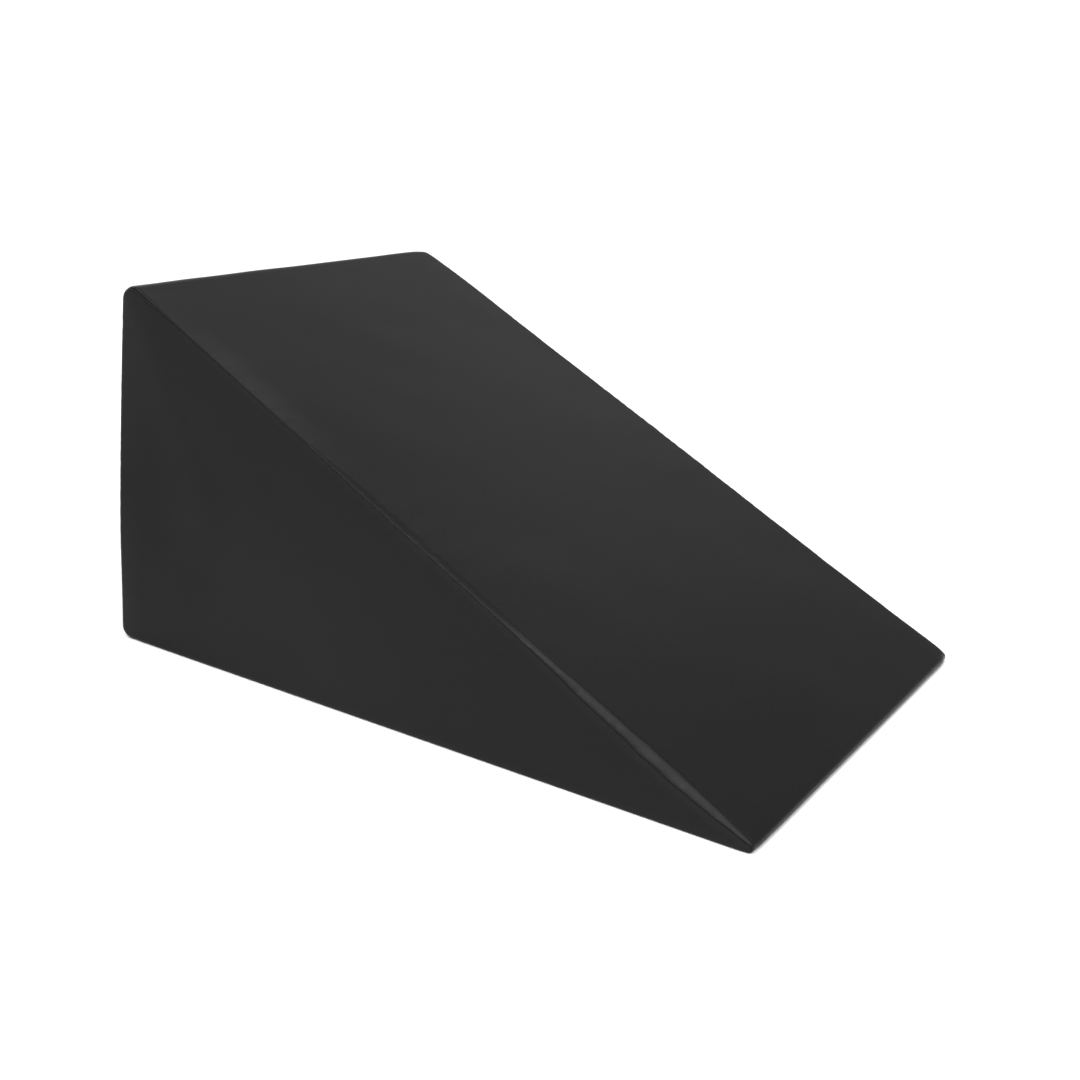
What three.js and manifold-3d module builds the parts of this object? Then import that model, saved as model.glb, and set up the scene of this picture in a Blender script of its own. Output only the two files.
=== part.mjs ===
// Foam positioning wedge (a fixed slant board for physiotherapy): a firm foam block in a sewn vinyl cover,
// closed by a coil zip across its back.
//
// Frame, in millimetres: +Z up, X across the width, +Y towards the tall back end, the toe at -Y.
// The origin is the middle of the base, on the floor. The left side is -X, seen from the toe.

import * as THREE from "three";
import { mergeVertices } from "three/addons/utils/BufferGeometryUtils.js";
import Module from "manifold-3d";

// ---------------------------------------------------------------- driving dimensions
const WIDTH = 400; // overall, across X
const BACK_Y = 300; // the back face
const TOE_Y = -300; // the tip of the rounded toe
const APEX_Z = 311; // where the slope's plane would meet the back's plane
const TOP_R = 15; // rounding of the top edge, between slope and back
const TOE_R = 8; // rounding of the toe, between slope and base
const HEEL_R = 11; // rounding of the bottom back edge
const RIM_R = 5; // rounding of both side rims

const VINYL = 1.2; // cover material, backing included
const GAP = 0.3; // clearance between neighbouring pieces
const SEAM = 1.5; // open groove of a seam, in which its thread lies
const THREAD_R = 0.42; // bonded upholstery thread

const TOP_SEAM_Z = 268; // slope panel to upper back panel, on the back face
const HEEL_SEAM_Z = 13; // base panel to lower back panel, on the back face
const TOE_SEAM_Y = -284; // slope panel to base panel, under the toe

// zip, level across the back face
const ZIP_Z = 62; // its middle line
const ZIP_WINDOW = 14; // clear height between the two hems
const HEM = 12; // height of each folded hem
const HEM_T = 2.4; // two layers of vinyl
const TAPE_W = 17; // each tape, from the middle slit outwards
const TAPE_T = 0.8;
const TAPE_HALF_L = 193; // half of each tape's length
const SLIT = 1.2; // between the two coils
const COIL_W = 2.7; // each coil, across the tape
const COIL_T = 1.6;
const COIL_END_X = 184; // both coils run from -COIL_END_X to +COIL_END_X
const STITCH_OFF = 3.2; // stitch row from the hem's edge

// slider: shut at +X, open at -X
const SLIDER_X = 177; // its middle when the zip is shut
const SLIDER_L = 12;
const SLIDER_W = 9;
const PLATE_T = 1.2;
const NECK_T = 0.6;
const BRIDGE_L = 8;
const BRIDGE_W = 1.8;
const PIN_R = 0.55; // the tab's own cross bar, which turns in the bridge
const TAB_L = 24;
const TAB_W = 6.4;
const TAB_T = 1.2;

// ---------------------------------------------------------------- solids
const wasm = await Module();
wasm.setup();

function toSolid(geometry) {
  const g = geometry.clone();
  g.deleteAttribute("normal");
  g.deleteAttribute("uv");
  const merged = mergeVertices(g, 1e-4);
  return new wasm.Manifold(
    new wasm.Mesh({
      numProp: 3,
      vertProperties: new Float32Array(merged.attributes.position.array),
      triVerts: new Uint32Array(merged.index.array),
    }),
  );
}

function toGeometry(solid) {
  const m = solid.getMesh();
  const points = new Float32Array(m.numVert * 3);
  for (let i = 0; i < m.numVert; i++)
    for (let k = 0; k < 3; k++)
      points[3 * i + k] = m.vertProperties[i * m.numProp + k];
  const g = new THREE.BufferGeometry();
  g.setAttribute("position", new THREE.BufferAttribute(points, 3));
  g.setIndex(new THREE.BufferAttribute(new Uint32Array(m.triVerts), 1));
  const flat = g.toNonIndexed();
  flat.computeVertexNormals();
  return flat;
}

function boxGeometry(x0, x1, y0, y1, z0, z1) {
  return new THREE.BoxGeometry(x1 - x0, y1 - y0, z1 - z0).translate(
    (x0 + x1) / 2,
    (y0 + y1) / 2,
    (z0 + z1) / 2,
  );
}

const box = (...b) => toSolid(boxGeometry(...b));
const WIDE = 1000; // larger than the object

// ---------------------------------------------------------------- the wedge's outline, in the YZ plane
const HALF_TOE = (() => {
  // The slope's plane meets the floor in front of the rounded toe, by a distance that depends on the slope itself,
  // so the angle is found by iteration.
  let slope = Math.atan(0.5);
  for (let i = 0; i < 30; i++) {
    const apexY = TOE_Y - (TOE_R / Math.tan(slope / 2) - TOE_R);
    slope = Math.atan(APEX_Z / (BACK_Y - apexY));
  }
  return slope / 2;
})();
const SLOPE = 2 * HALF_TOE;
const APEX_Y = TOE_Y - (TOE_R / Math.tan(HALF_TOE) - TOE_R);

// The closed outline at a distance d inside the cover's outer face, anticlockwise seen from +X (Y to the right, Z up).
// Each corner's centre stays where it is and its radius shrinks by d, so outlines at two depths stay parallel.
function outline(d, steps = { toe: 14, heel: 8, top: 12 }) {
  const toeC = [TOE_Y + TOE_R, TOE_R];
  const heelC = [BACK_Y - HEEL_R, HEEL_R];
  // the top's centre lies TOP_R inside both the back's plane and the slope's plane
  const up = [-Math.sin(SLOPE), Math.cos(SLOPE)]; // the slope's outward normal
  const topY = BACK_Y - TOP_R;
  const topZ =
    ((topY - APEX_Y) * Math.sin(SLOPE) - TOP_R) / Math.cos(SLOPE);
  const arc = (c, r, a0, a1, n) => {
    const out = [];
    for (let i = 0; i <= n; i++) {
      const a = a0 + ((a1 - a0) * i) / n;
      out.push([c[0] + r * Math.cos(a), c[1] + r * Math.sin(a)]);
    }
    return out;
  };
  const slopeAngle = Math.atan2(up[1], up[0]); // direction of the slope's outward normal
  return [
    ...arc(toeC, TOE_R - d, slopeAngle, 1.5 * Math.PI, steps.toe),
    ...arc(heelC, HEEL_R - d, -0.5 * Math.PI, 0, steps.heel),
    ...arc([topY, topZ], TOP_R - d, 0, slopeAngle, steps.top),
  ];
}

// A solid of the outline at depth d, across the width, with its two rims rounded.
function wedge(d, rimSteps = 5) {
  const pts = outline(d);
  const shape = new THREE.Shape(pts.map(([y, z]) => new THREE.Vector2(y, z)));
  const r = RIM_R - d;
  const half = WIDTH / 2 - d;
  const g = new THREE.ExtrudeGeometry(shape, {
    depth: 2 * (half - r),
    steps: 1,
    bevelEnabled: true,
    bevelThickness: r,
    bevelSize: r,
    bevelOffset: -r,
    bevelSegments: rimSteps,
  });
  // ExtrudeGeometry's x, y, z are this part's Y, Z, X
  g.applyMatrix4(
    new THREE.Matrix4().makeBasis(
      new THREE.Vector3(0, 1, 0),
      new THREE.Vector3(0, 0, 1),
      new THREE.Vector3(1, 0, 0),
    ),
  );
  g.translate(-(half - r), 0, 0);
  return toSolid(g);
}

// ---------------------------------------------------------------- cover
const outer = wedge(0);
const inner = wedge(VINYL);
const shell = outer.subtract(inner);

// The seam of each side triangle runs round the middle of its rim.
const RIM_SEAM_X = WIDTH / 2 - RIM_R + RIM_R * Math.SQRT1_2;
const WRAP_X = RIM_SEAM_X - SEAM / 2; // the wrap-round panels end here
const SIDE_X = RIM_SEAM_X + SEAM / 2; // the side panels start here

const wrap = shell.intersect(box(-WRAP_X, WRAP_X, -WIDE, WIDE, -WIDE, WIDE));
const leftSide = shell.intersect(
  box(-WIDE, -SIDE_X, -WIDE, WIDE, -WIDE, WIDE),
);
const rightSide = shell.intersect(box(SIDE_X, WIDE, -WIDE, WIDE, -WIDE, WIDE));

const backZone = (z0, z1) => box(-WIDE, WIDE, BACK_Y - 40, WIDE, z0, z1);
const slot = ZIP_WINDOW / 2;
const zipTop = ZIP_Z + slot;
const zipBottom = ZIP_Z - slot;

// hems: the vinyl's folded edge, which doubles it on the inside
const hemX = TAPE_HALF_L - 1;
const hem = (z0, z1) =>
  box(-hemX, hemX, BACK_Y - HEM_T, BACK_Y - VINYL + 0.2, z0, z1);
// the shallow channel in which a stitch row lies on the outer face
const channel = (z) =>
  box(-WIDE, WIDE, BACK_Y - 0.75, BACK_Y + 1, z - 0.72, z + 0.72);

const stitchTopZ = zipTop + STITCH_OFF;
const stitchBottomZ = zipBottom - STITCH_OFF;

const backUpper = wrap
  .intersect(backZone(zipTop, TOP_SEAM_Z - SEAM / 2))
  .add(hem(zipTop, zipTop + HEM))
  .subtract(channel(stitchTopZ));
const backLower = wrap
  .intersect(backZone(HEEL_SEAM_Z + SEAM / 2, zipBottom))
  .add(hem(zipBottom - HEM, zipBottom))
  .subtract(channel(stitchBottomZ));

// the slope panel: everything above the toe seam and the top seam; the base panel: the base, the heel and the foot of the back
const slopeKeep = box(-WIDE, WIDE, -WIDE, WIDE, -WIDE, WIDE)
  .subtract(box(-WIDE, WIDE, BACK_Y - 10, WIDE, -WIDE, TOP_SEAM_Z + SEAM / 2))
  .subtract(box(-WIDE, WIDE, TOE_SEAM_Y - SEAM / 2, WIDE, -WIDE, 5));
const slopePanel = wrap.intersect(slopeKeep);
const basePanel = wrap.intersect(
  box(-WIDE, WIDE, TOE_SEAM_Y + SEAM / 2, BACK_Y - 12, -WIDE, 4).add(
    box(-WIDE, WIDE, BACK_Y - 13, WIDE, -WIDE, HEEL_SEAM_Z - SEAM / 2),
  ),
);

// ---------------------------------------------------------------- foam core
// One block, a clearance inside the cover. Its back is pressed in behind the hems, the tapes and the slider.
const tapeOut = BACK_Y - HEM_T - GAP; // the tapes' outer face
const tapeIn = tapeOut - TAPE_T;
const plateOut = tapeIn - GAP; // the slider's inner plate, outer face
const plateIn = plateOut - PLATE_T;
const foam = wedge(VINYL + GAP)
  .subtract(
    box(
      -WIDE,
      WIDE,
      tapeIn - GAP,
      WIDE,
      ZIP_Z - TAPE_W - 3,
      ZIP_Z + TAPE_W + 3,
    ),
  )
  .subtract(
    box(
      -WIDE,
      WIDE,
      plateIn - GAP - 0.4,
      WIDE,
      ZIP_Z - SLIDER_W / 2 - 1.2,
      ZIP_Z + SLIDER_W / 2 + 1.2,
    ),
  );

// ---------------------------------------------------------------- seam threads
// A thread along a straight run across the width.
function straightThread(y, z, halfLength) {
  const g = new THREE.CylinderGeometry(
    THREAD_R,
    THREAD_R,
    2 * halfLength,
    10,
    1,
  ).rotateZ(Math.PI / 2);
  return toSolid(g.translate(0, y, z));
}

// A thread all round a side rim: a closed loop at depth d inside the outline, in the plane x.
function rimThread(x, d) {
  const n = 8;
  const loop = outline(d, { toe: 12, heel: 6, top: 10 });
  // ring k of the tube is the outline at depth d + r cos, moved across by r sin
  const rings = [];
  for (let k = 0; k < n; k++) {
    const a = (2 * Math.PI * k) / n;
    rings.push(
      outline(d + THREAD_R * Math.cos(a), { toe: 12, heel: 6, top: 10 }).map(
        ([y, z]) => [x + THREAD_R * Math.sin(a), y, z],
      ),
    );
  }
  const m = loop.length;
  const points = new Float32Array(rings.flat(2));
  const index = [];
  for (let k = 0; k < n; k++)
    for (let i = 0; i < m; i++) {
      const a = k * m + i,
        b = k * m + ((i + 1) % m),
        c = ((k + 1) % n) * m + ((i + 1) % m),
        e = ((k + 1) % n) * m + i;
      index.push(a, b, c, a, c, e);
    }
  const g = new THREE.BufferGeometry();
  g.setAttribute("position", new THREE.BufferAttribute(points, 3));
  g.setIndex(index);
  let s = toSolid(g);
  if (s.volume() < 0) {
    for (let i = 0; i < index.length; i += 3)
      [index[i + 1], index[i + 2]] = [index[i + 2], index[i + 1]];
    g.setIndex(index);
    s = toSolid(g);
  }
  return s;
}

const rimDepth = RIM_R - Math.sqrt(RIM_R ** 2 - (RIM_SEAM_X - WIDTH / 2 + RIM_R) ** 2);
const threadDepth = rimDepth + 0.62; // sunk below the rim's round
const leftThread = rimThread(-RIM_SEAM_X, threadDepth);
const rightThread = rimThread(RIM_SEAM_X, threadDepth);
const seamHalf = WRAP_X - 1.2;
const topThread = straightThread(BACK_Y - 0.62, TOP_SEAM_Z, seamHalf - 1.5);
const heelThread = straightThread(BACK_Y - 0.62, HEEL_SEAM_Z, seamHalf - 1.5);
const toeThread = straightThread(TOE_SEAM_Y, 0.62, seamHalf - 1.5);
const stitchUpper = straightThread(BACK_Y - 0.3, stitchTopZ, TAPE_HALF_L - 2);
const stitchLower = straightThread(BACK_Y - 0.3, stitchBottomZ, TAPE_HALF_L - 2);

// ---------------------------------------------------------------- zip
const tape = (side) =>
  side > 0
    ? box(
        -TAPE_HALF_L,
        TAPE_HALF_L,
        tapeIn,
        tapeOut,
        ZIP_Z + SLIT / 2,
        ZIP_Z + TAPE_W,
      )
    : box(
        -TAPE_HALF_L,
        TAPE_HALF_L,
        tapeIn,
        tapeOut,
        ZIP_Z - TAPE_W,
        ZIP_Z - SLIT / 2,
      );

const coilIn = tapeOut + GAP;
const coilOut = coilIn + COIL_T;

// a coil's section is flat where it is sewn to the tape and round on the outside
function coil(side) {
  const s = new THREE.Shape();
  const z0 = ZIP_Z + side * (SLIT / 2);
  const z1 = ZIP_Z + side * (SLIT / 2 + COIL_W);
  const pts = [
    [coilIn, z0],
    [coilIn, z1],
    [coilIn + 0.55 * COIL_T, z1 - side * 0.12],
    [coilIn + 0.85 * COIL_T, z1 - side * 0.5],
    [coilOut, z1 - side * 1.0],
    [coilOut, z0 + side * 0.9],
    [coilIn + 0.85 * COIL_T, z0 + side * 0.3],
    [coilIn + 0.55 * COIL_T, z0],
  ];
  if (side > 0) pts.reverse();
  s.setFromPoints(pts.map(([y, z]) => new THREE.Vector2(y, z)));
  const g = new THREE.ExtrudeGeometry(s, {
    depth: 2 * COIL_END_X,
    bevelEnabled: false,
  });
  g.applyMatrix4(
    new THREE.Matrix4().makeBasis(
      new THREE.Vector3(0, 1, 0),
      new THREE.Vector3(0, 0, 1),
      new THREE.Vector3(1, 0, 0),
    ),
  );
  g.translate(-COIL_END_X, 0, 0);
  return toSolid(g);
}

// slider, at its shut place; the tapes and coils pass between its plates
const plate2In = coilOut + GAP; // the outer plate
const plate2Out = plate2In + PLATE_T;
const sx0 = SLIDER_X - SLIDER_L / 2;
const sx1 = SLIDER_X + SLIDER_L / 2;

// a plate's outline: wide at the end where the tapes part, narrower at the end where they join
function sliderPlate(y0, y1) {
  const s = new THREE.Shape();
  const w = SLIDER_W / 2;
  s.setFromPoints(
    [
      [sx0 + 0.8, -w * 0.78],
      [sx0 + 4.5, -w * 0.84],
      [sx1 - 2.5, -w],
      [sx1 - 0.9, -w * 0.93],
      [sx1, -w * 0.6],
      [sx1, w * 0.6],
      [sx1 - 0.9, w * 0.93],
      [sx1 - 2.5, w],
      [sx0 + 4.5, w * 0.84],
      [sx0 + 0.8, w * 0.78],
      [sx0, w * 0.6],
      [sx0, -w * 0.6],
    ].map(([x, z]) => new THREE.Vector2(x, ZIP_Z + z)),
  );
  const g = new THREE.ExtrudeGeometry(s, {
    depth: y1 - y0,
    bevelEnabled: false,
  });
  // ExtrudeGeometry's x, y, z are this part's X, Z, -Y
  g.rotateX(Math.PI / 2);
  g.translate(0, y1, 0);
  return toSolid(g);
}

const bridgeFoot = plate2Out;
const pinY = bridgeFoot + 0.35 + TAB_T / 2; // the tab's bar, and the hinge's axis
const bridgeIn = pinY + PIN_R + 0.45; // inner side of the bridge's beam
const bridgeOut = bridgeIn + 0.9;
const bw = BRIDGE_W / 2;
const bl = BRIDGE_L / 2;
// the bridge's outline along the slider, an arch with a window for the tab's bar
function bridge() {
  const s = new THREE.Shape(
    [
      [-bl, bridgeFoot - 0.2],
      [bl, bridgeFoot - 0.2],
      [bl, bridgeOut - 1.4],
      [bl - 0.7, bridgeOut - 0.4],
      [bl - 1.8, bridgeOut],
      [-bl + 1.8, bridgeOut],
      [-bl + 0.7, bridgeOut - 0.4],
      [-bl, bridgeOut - 1.4],
    ].map(([x, y]) => new THREE.Vector2(SLIDER_X + x, y)),
  );
  const hole = new THREE.Path(
    [
      [-2.4, bridgeFoot],
      [-2.4, bridgeIn - 0.5],
      [-1.9, bridgeIn],
      [1.9, bridgeIn],
      [2.4, bridgeIn - 0.5],
      [2.4, bridgeFoot],
    ].map(([x, y]) => new THREE.Vector2(SLIDER_X + x, y)),
  );
  s.holes.push(hole);
  const g = new THREE.ExtrudeGeometry(s, {
    depth: BRIDGE_W,
    bevelEnabled: false,
  });
  g.translate(0, 0, ZIP_Z - bw);
  return toSolid(g);
}

// side walls of the outer plate, which guide the coils
const wallZ = SLIDER_W / 2;
const wall = (side) =>
  side > 0
    ? box(sx0 + 1.4, sx1 - 2.6, tapeOut + GAP, plate2In + 0.3, ZIP_Z + wallZ * 0.84 - 0.42, ZIP_Z + wallZ * 0.84)
    : box(sx0 + 1.4, sx1 - 2.6, tapeOut + GAP, plate2In + 0.3, ZIP_Z - wallZ * 0.84, ZIP_Z - wallZ * 0.84 + 0.42);

const neck = box(
  sx1 - 4.2,
  sx1 - 1.2,
  plateIn + 0.2,
  plate2Out - 0.2,
  ZIP_Z - NECK_T / 2,
  ZIP_Z + NECK_T / 2,
);
const sliderBody = sliderPlate(plateIn, plateOut)
  .add(sliderPlate(plate2In, plate2Out))
  .add(wall(1))
  .add(wall(-1))
  .add(neck)
  .add(bridge());

// pull tab: a flat plate with a window round the bridge, closed by the cross bar; it lies along the shut coil
const tabX1 = SLIDER_X + PIN_R;
const tabX0 = SLIDER_X - TAB_L;
const winHalf = bw + 0.45;
function pullTab() {
  const w = TAB_W / 2;
  const s = new THREE.Shape(
    [
      [tabX0 + 1.6, -w],
      [SLIDER_X - 6.2, -w * 0.92],
      [SLIDER_X - 4.6, -winHalf - 1.0],
      [tabX1 - 0.25, -winHalf - 1.0],
      [tabX1 - 0.25, winHalf + 1.0],
      [SLIDER_X - 4.6, winHalf + 1.0],
      [SLIDER_X - 6.2, w * 0.92],
      [tabX0 + 1.6, w],
      [tabX0 + 0.4, w * 0.8],
      [tabX0, w * 0.45],
      [tabX0, -w * 0.45],
      [tabX0 + 0.4, -w * 0.8],
    ].map(([x, z]) => new THREE.Vector2(x, ZIP_Z + z)),
  );
  // the window reaches past the bridge's far corner, so the tab clears it as it swings over
  s.holes.push(
    new THREE.Path(
      [
        [SLIDER_X - PIN_R + 0.1, -winHalf],
        [SLIDER_X - 5.0, -winHalf],
        [SLIDER_X - 5.0, winHalf],
        [SLIDER_X - PIN_R + 0.1, winHalf],
      ].map(([x, z]) => new THREE.Vector2(x, ZIP_Z + z)),
    ),
  );
  // a hole for a finger cord near the free end
  const eye = new THREE.Path();
  eye.absarc(tabX0 + 4.2, ZIP_Z, 1.5, 0, 2 * Math.PI, true);
  s.holes.push(eye);
  const g = new THREE.ExtrudeGeometry(s, {
    depth: TAB_T,
    bevelEnabled: false,
    curveSegments: 8,
  });
  g.rotateX(Math.PI / 2);
  g.translate(0, pinY + TAB_T / 2, 0);
  // the window is opened round the bar, whose section is round where it turns in the bridge
  const bar = new THREE.CylinderGeometry(
    PIN_R,
    PIN_R,
    2 * winHalf + 0.4,
    12,
    1,
  ).rotateX(Math.PI / 2);
  bar.translate(SLIDER_X, pinY, ZIP_Z);
  return toSolid(g)
    .subtract(
      box(
        SLIDER_X - PIN_R - 0.6,
        tabX1 + 1,
        pinY - 2,
        pinY + 2,
        ZIP_Z - winHalf,
        ZIP_Z + winHalf,
      ),
    )
    .add(toSolid(bar));
}

// stops, clamped on the tapes' edges past both ends of the slider's travel
const STOP_X = sx1 + 0.6;
const stop = (side) =>
  side > 0
    ? box(STOP_X + 1.4, STOP_X + 4.4, coilIn, coilOut - 0.1, ZIP_Z + SLIT / 2, ZIP_Z + SLIT / 2 + 2.6)
    : box(STOP_X + 1.4, STOP_X + 4.4, coilIn, coilOut - 0.1, ZIP_Z - SLIT / 2 - 2.6, ZIP_Z - SLIT / 2);
const bottomStop = box(
  -COIL_END_X - 4.6,
  -COIL_END_X - 0.4,
  coilIn,
  coilOut + 0.1,
  ZIP_Z - 3.4,
  ZIP_Z + 3.4,
);

// ---------------------------------------------------------------- materials and nodes
const vinyl = (c = 0x1b1b1b) =>
  new THREE.MeshStandardMaterial({ color: c, roughness: 0.48, metalness: 0 });
const threadMat = () =>
  new THREE.MeshStandardMaterial({
    color: 0x242424,
    roughness: 0.6,
    metalness: 0,
  });
const foamMat = () =>
  new THREE.MeshStandardMaterial({
    color: 0xb9b4a6,
    roughness: 0.95,
    metalness: 0,
  });
const tapeMat = () =>
  new THREE.MeshStandardMaterial({
    color: 0x161616,
    roughness: 0.85,
    metalness: 0,
  });
const coilMat = () =>
  new THREE.MeshStandardMaterial({
    color: 0x1c1c1c,
    roughness: 0.4,
    metalness: 0,
  });
const metalMat = () =>
  new THREE.MeshStandardMaterial({
    color: 0x2a2a2c,
    roughness: 0.35,
    metalness: 0.9,
  });

const root = new THREE.Group();
function put(name, solid, material, parent = root) {
  const m = new THREE.Mesh(toGeometry(solid), material);
  m.name = name;
  parent.add(m);
}

put("foam_core", foam, foamMat());

const cover = new THREE.Group();
root.add(cover);
put("slope_panel", slopePanel, vinyl(), cover);
put("left_side_panel", leftSide, vinyl(), cover);
put("right_side_panel", rightSide, vinyl(), cover);
put("back_panel_upper", backUpper, vinyl(), cover);
put("back_panel_lower", backLower, vinyl(), cover);
put("base_panel", basePanel, vinyl(), cover);

const seams = new THREE.Group();
root.add(seams);
put("left_seam_thread", leftThread, threadMat(), seams);
put("right_seam_thread", rightThread, threadMat(), seams);
put("top_seam_thread", topThread, threadMat(), seams);
put("toe_seam_thread", toeThread, threadMat(), seams);
put("heel_seam_thread", heelThread, threadMat(), seams);
put("zip_stitching_upper", stitchUpper, threadMat(), seams);
put("zip_stitching_lower", stitchLower, threadMat(), seams);

const zip = new THREE.Group();
root.add(zip);
put("zip_tape_upper", tape(1), tapeMat(), zip);
put("zip_tape_lower", tape(-1), tapeMat(), zip);
put("zip_coil_upper", coil(1), coilMat(), zip);
put("zip_coil_lower", coil(-1), coilMat(), zip);
put("zip_top_stop_upper", stop(1), metalMat(), zip);
put("zip_top_stop_lower", stop(-1), metalMat(), zip);
put("zip_bottom_stop", bottomStop, metalMat(), zip);
put("zip_slider_body", sliderBody, metalMat(), zip);
put("zip_pull_tab", pullTab(), metalMat(), zip);

export default root;
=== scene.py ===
"""Slant board: a firm foam wedge in a sewn, satin black vinyl cover with a coil zip across its back.

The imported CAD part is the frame. The cover's panels, the seams, the topstitching, the zip's coils and the foam are
made here as fine meshes in the space of their CAD nodes. The zip's tapes, stops, slider and pull tab are the CAD's own.
Lengths in this script are millimetres until a mesh is made.
"""

import math

import bpy
import numpy as np
from mathutils import Matrix, Vector, geometry


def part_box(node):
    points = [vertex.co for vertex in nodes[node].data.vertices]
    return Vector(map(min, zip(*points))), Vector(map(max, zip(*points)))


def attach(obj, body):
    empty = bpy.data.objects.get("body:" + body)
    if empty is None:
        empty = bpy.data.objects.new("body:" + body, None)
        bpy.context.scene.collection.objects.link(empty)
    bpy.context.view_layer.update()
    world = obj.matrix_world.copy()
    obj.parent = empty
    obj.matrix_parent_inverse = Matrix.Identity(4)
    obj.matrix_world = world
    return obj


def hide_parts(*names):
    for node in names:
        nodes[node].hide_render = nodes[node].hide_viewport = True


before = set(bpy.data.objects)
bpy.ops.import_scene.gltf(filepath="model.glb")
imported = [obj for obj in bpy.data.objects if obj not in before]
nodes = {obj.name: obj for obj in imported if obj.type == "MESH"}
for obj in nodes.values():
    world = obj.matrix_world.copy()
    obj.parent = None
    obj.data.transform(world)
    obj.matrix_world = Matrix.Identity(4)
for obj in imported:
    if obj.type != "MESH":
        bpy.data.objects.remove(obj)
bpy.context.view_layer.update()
rng = np.random.default_rng(20)

# ---------------------------------------------------------------- the frame's own sizes


def mm_box(node):
    lo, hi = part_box(node)
    return np.array(lo) * 1000, np.array(hi) * 1000


def mid(node, axis):
    lo, hi = mm_box(node)
    return (lo[axis] + hi[axis]) / 2


HALF = mm_box("right_side_panel")[1][0]
BACK = mm_box("back_panel_upper")[1][1]
TOE = mm_box("slope_panel")[0][1]
TOP_SEAM = mid("top_seam_thread", 2)
HEEL_SEAM = mid("heel_seam_thread", 2)
TOE_SEAM = mid("toe_seam_thread", 1)
HEM_UP = mm_box("back_panel_upper")[0][2]
HEM_LOW = mm_box("back_panel_lower")[1][2]
ZIP_Z = (HEM_UP + HEM_LOW) / 2
STITCH_UP = mid("zip_stitching_upper", 2)
STITCH_LOW = mid("zip_stitching_lower", 2)
COIL_LO, COIL_HI = mm_box("zip_coil_upper")

APEX_Z = 311.0  # where the slope's plane meets the back's, as in the CAD
R_TOP, R_TOE, R_HEEL = 12.0, 4.0, 11.0
LEAN = 14.0  # how far the cover's pull draws the foam's top edge forward
NARROW, WIDE = 0.036, 0.014  # and how much it narrows the top, and lets the foot spread
GAP = 0.2  # half of a closed seam's opening
LIP = 1.5  # radius of a turned edge at a seam

# ---------------------------------------------------------------- outline of the wedge in the YZ plane
slope = math.atan(0.5)
for _ in range(60):
    apex_y = TOE - (R_TOE / math.tan(slope / 2) - R_TOE)
    slope = math.atan(APEX_Z / (BACK - apex_y))
top_cy = BACK - R_TOP
top_cz = ((top_cy - apex_y) * math.sin(slope) - R_TOP) / math.cos(slope)
up = math.pi / 2 + slope  # the slope's outward normal, as an angle in YZ

SEGMENTS = []  # (kind, length, data)


def add_line(a, b, normal):
    SEGMENTS.append(("line", math.dist(a, b), (np.array(a, float), np.array(b, float), np.array(normal, float))))


def add_arc(c, r, a0, a1):
    SEGMENTS.append(("arc", r * (a1 - a0), (np.array(c, float), r, a0, a1)))


n_slope = (math.cos(up), math.sin(up))
slope_top = (top_cy + R_TOP * n_slope[0], top_cz + R_TOP * n_slope[1])
toe_c = (TOE + R_TOE, R_TOE)
slope_end = (toe_c[0] + R_TOE * n_slope[0], toe_c[1] + R_TOE * n_slope[1])
add_line((TOE_SEAM, 0), (BACK - R_HEEL, 0), (0, -1))
add_arc((BACK - R_HEEL, R_HEEL), R_HEEL, -math.pi / 2, 0)
add_line((BACK, R_HEEL), (BACK, top_cz), (1, 0))
add_arc((top_cy, top_cz), R_TOP, 0, up)
add_line(slope_top, slope_end, n_slope)
add_arc(toe_c, R_TOE, up, 1.5 * math.pi)
add_line((toe_c[0], 0), (TOE_SEAM, 0), (0, -1))
STARTS = np.concatenate([[0], np.cumsum([s[1] for s in SEGMENTS])])
TOTAL = STARTS[-1]
T_HEEL_ARC, T_BACK, T_TOP_ARC, T_SLOPE, T_TOE_ARC = STARTS[1:6]


def on_back(z):
    return T_BACK + (z - R_HEEL)


def profile(t):
    """Points and outward normals (y, z) of the outline at arc lengths t."""
    t = np.mod(np.asarray(t, float), TOTAL)
    p, n = np.zeros(t.shape + (2,)), np.zeros(t.shape + (2,))
    for k, (kind, length, data) in enumerate(SEGMENTS):
        m = (t >= STARTS[k]) & (t <= STARTS[k + 1])
        s = t[m] - STARTS[k]
        if kind == "line":
            a, b, normal = data
            p[m] = a + (b - a) * (s / length)[:, None]
            n[m] = normal
        else:
            c, r, a0, a1 = data
            a = a0 + s / r
            n[m] = np.stack([np.cos(a), np.sin(a)], -1)
            p[m] = c + r * n[m]
    return p, n


# ---------------------------------------------------------------- the side rims: radius, and where the seam runs on them
V = T_TOE_ARC - T_SLOPE  # length of the slope


def table(knots):
    """A smooth closed function of t through (t, value) knots."""
    grid = np.linspace(0, TOTAL, 4096, endpoint=False)
    ts, vs = zip(*sorted(knots))
    ts = [ts[-1] - TOTAL, *ts, ts[0] + TOTAL]
    vs = [vs[-1], *vs, vs[0]]
    raw = np.interp(grid, ts, vs)
    k = np.fft.rfftfreq(4096, TOTAL / 4096)
    smooth = np.fft.irfft(np.fft.rfft(raw) * np.exp(-2 * (math.pi * k * 12.0) ** 2), 4096)
    return lambda t: np.interp(np.mod(t, TOTAL), np.append(grid, TOTAL), np.append(smooth, smooth[0]))


def on_slope(v):
    return T_SLOPE + v * V


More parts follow.
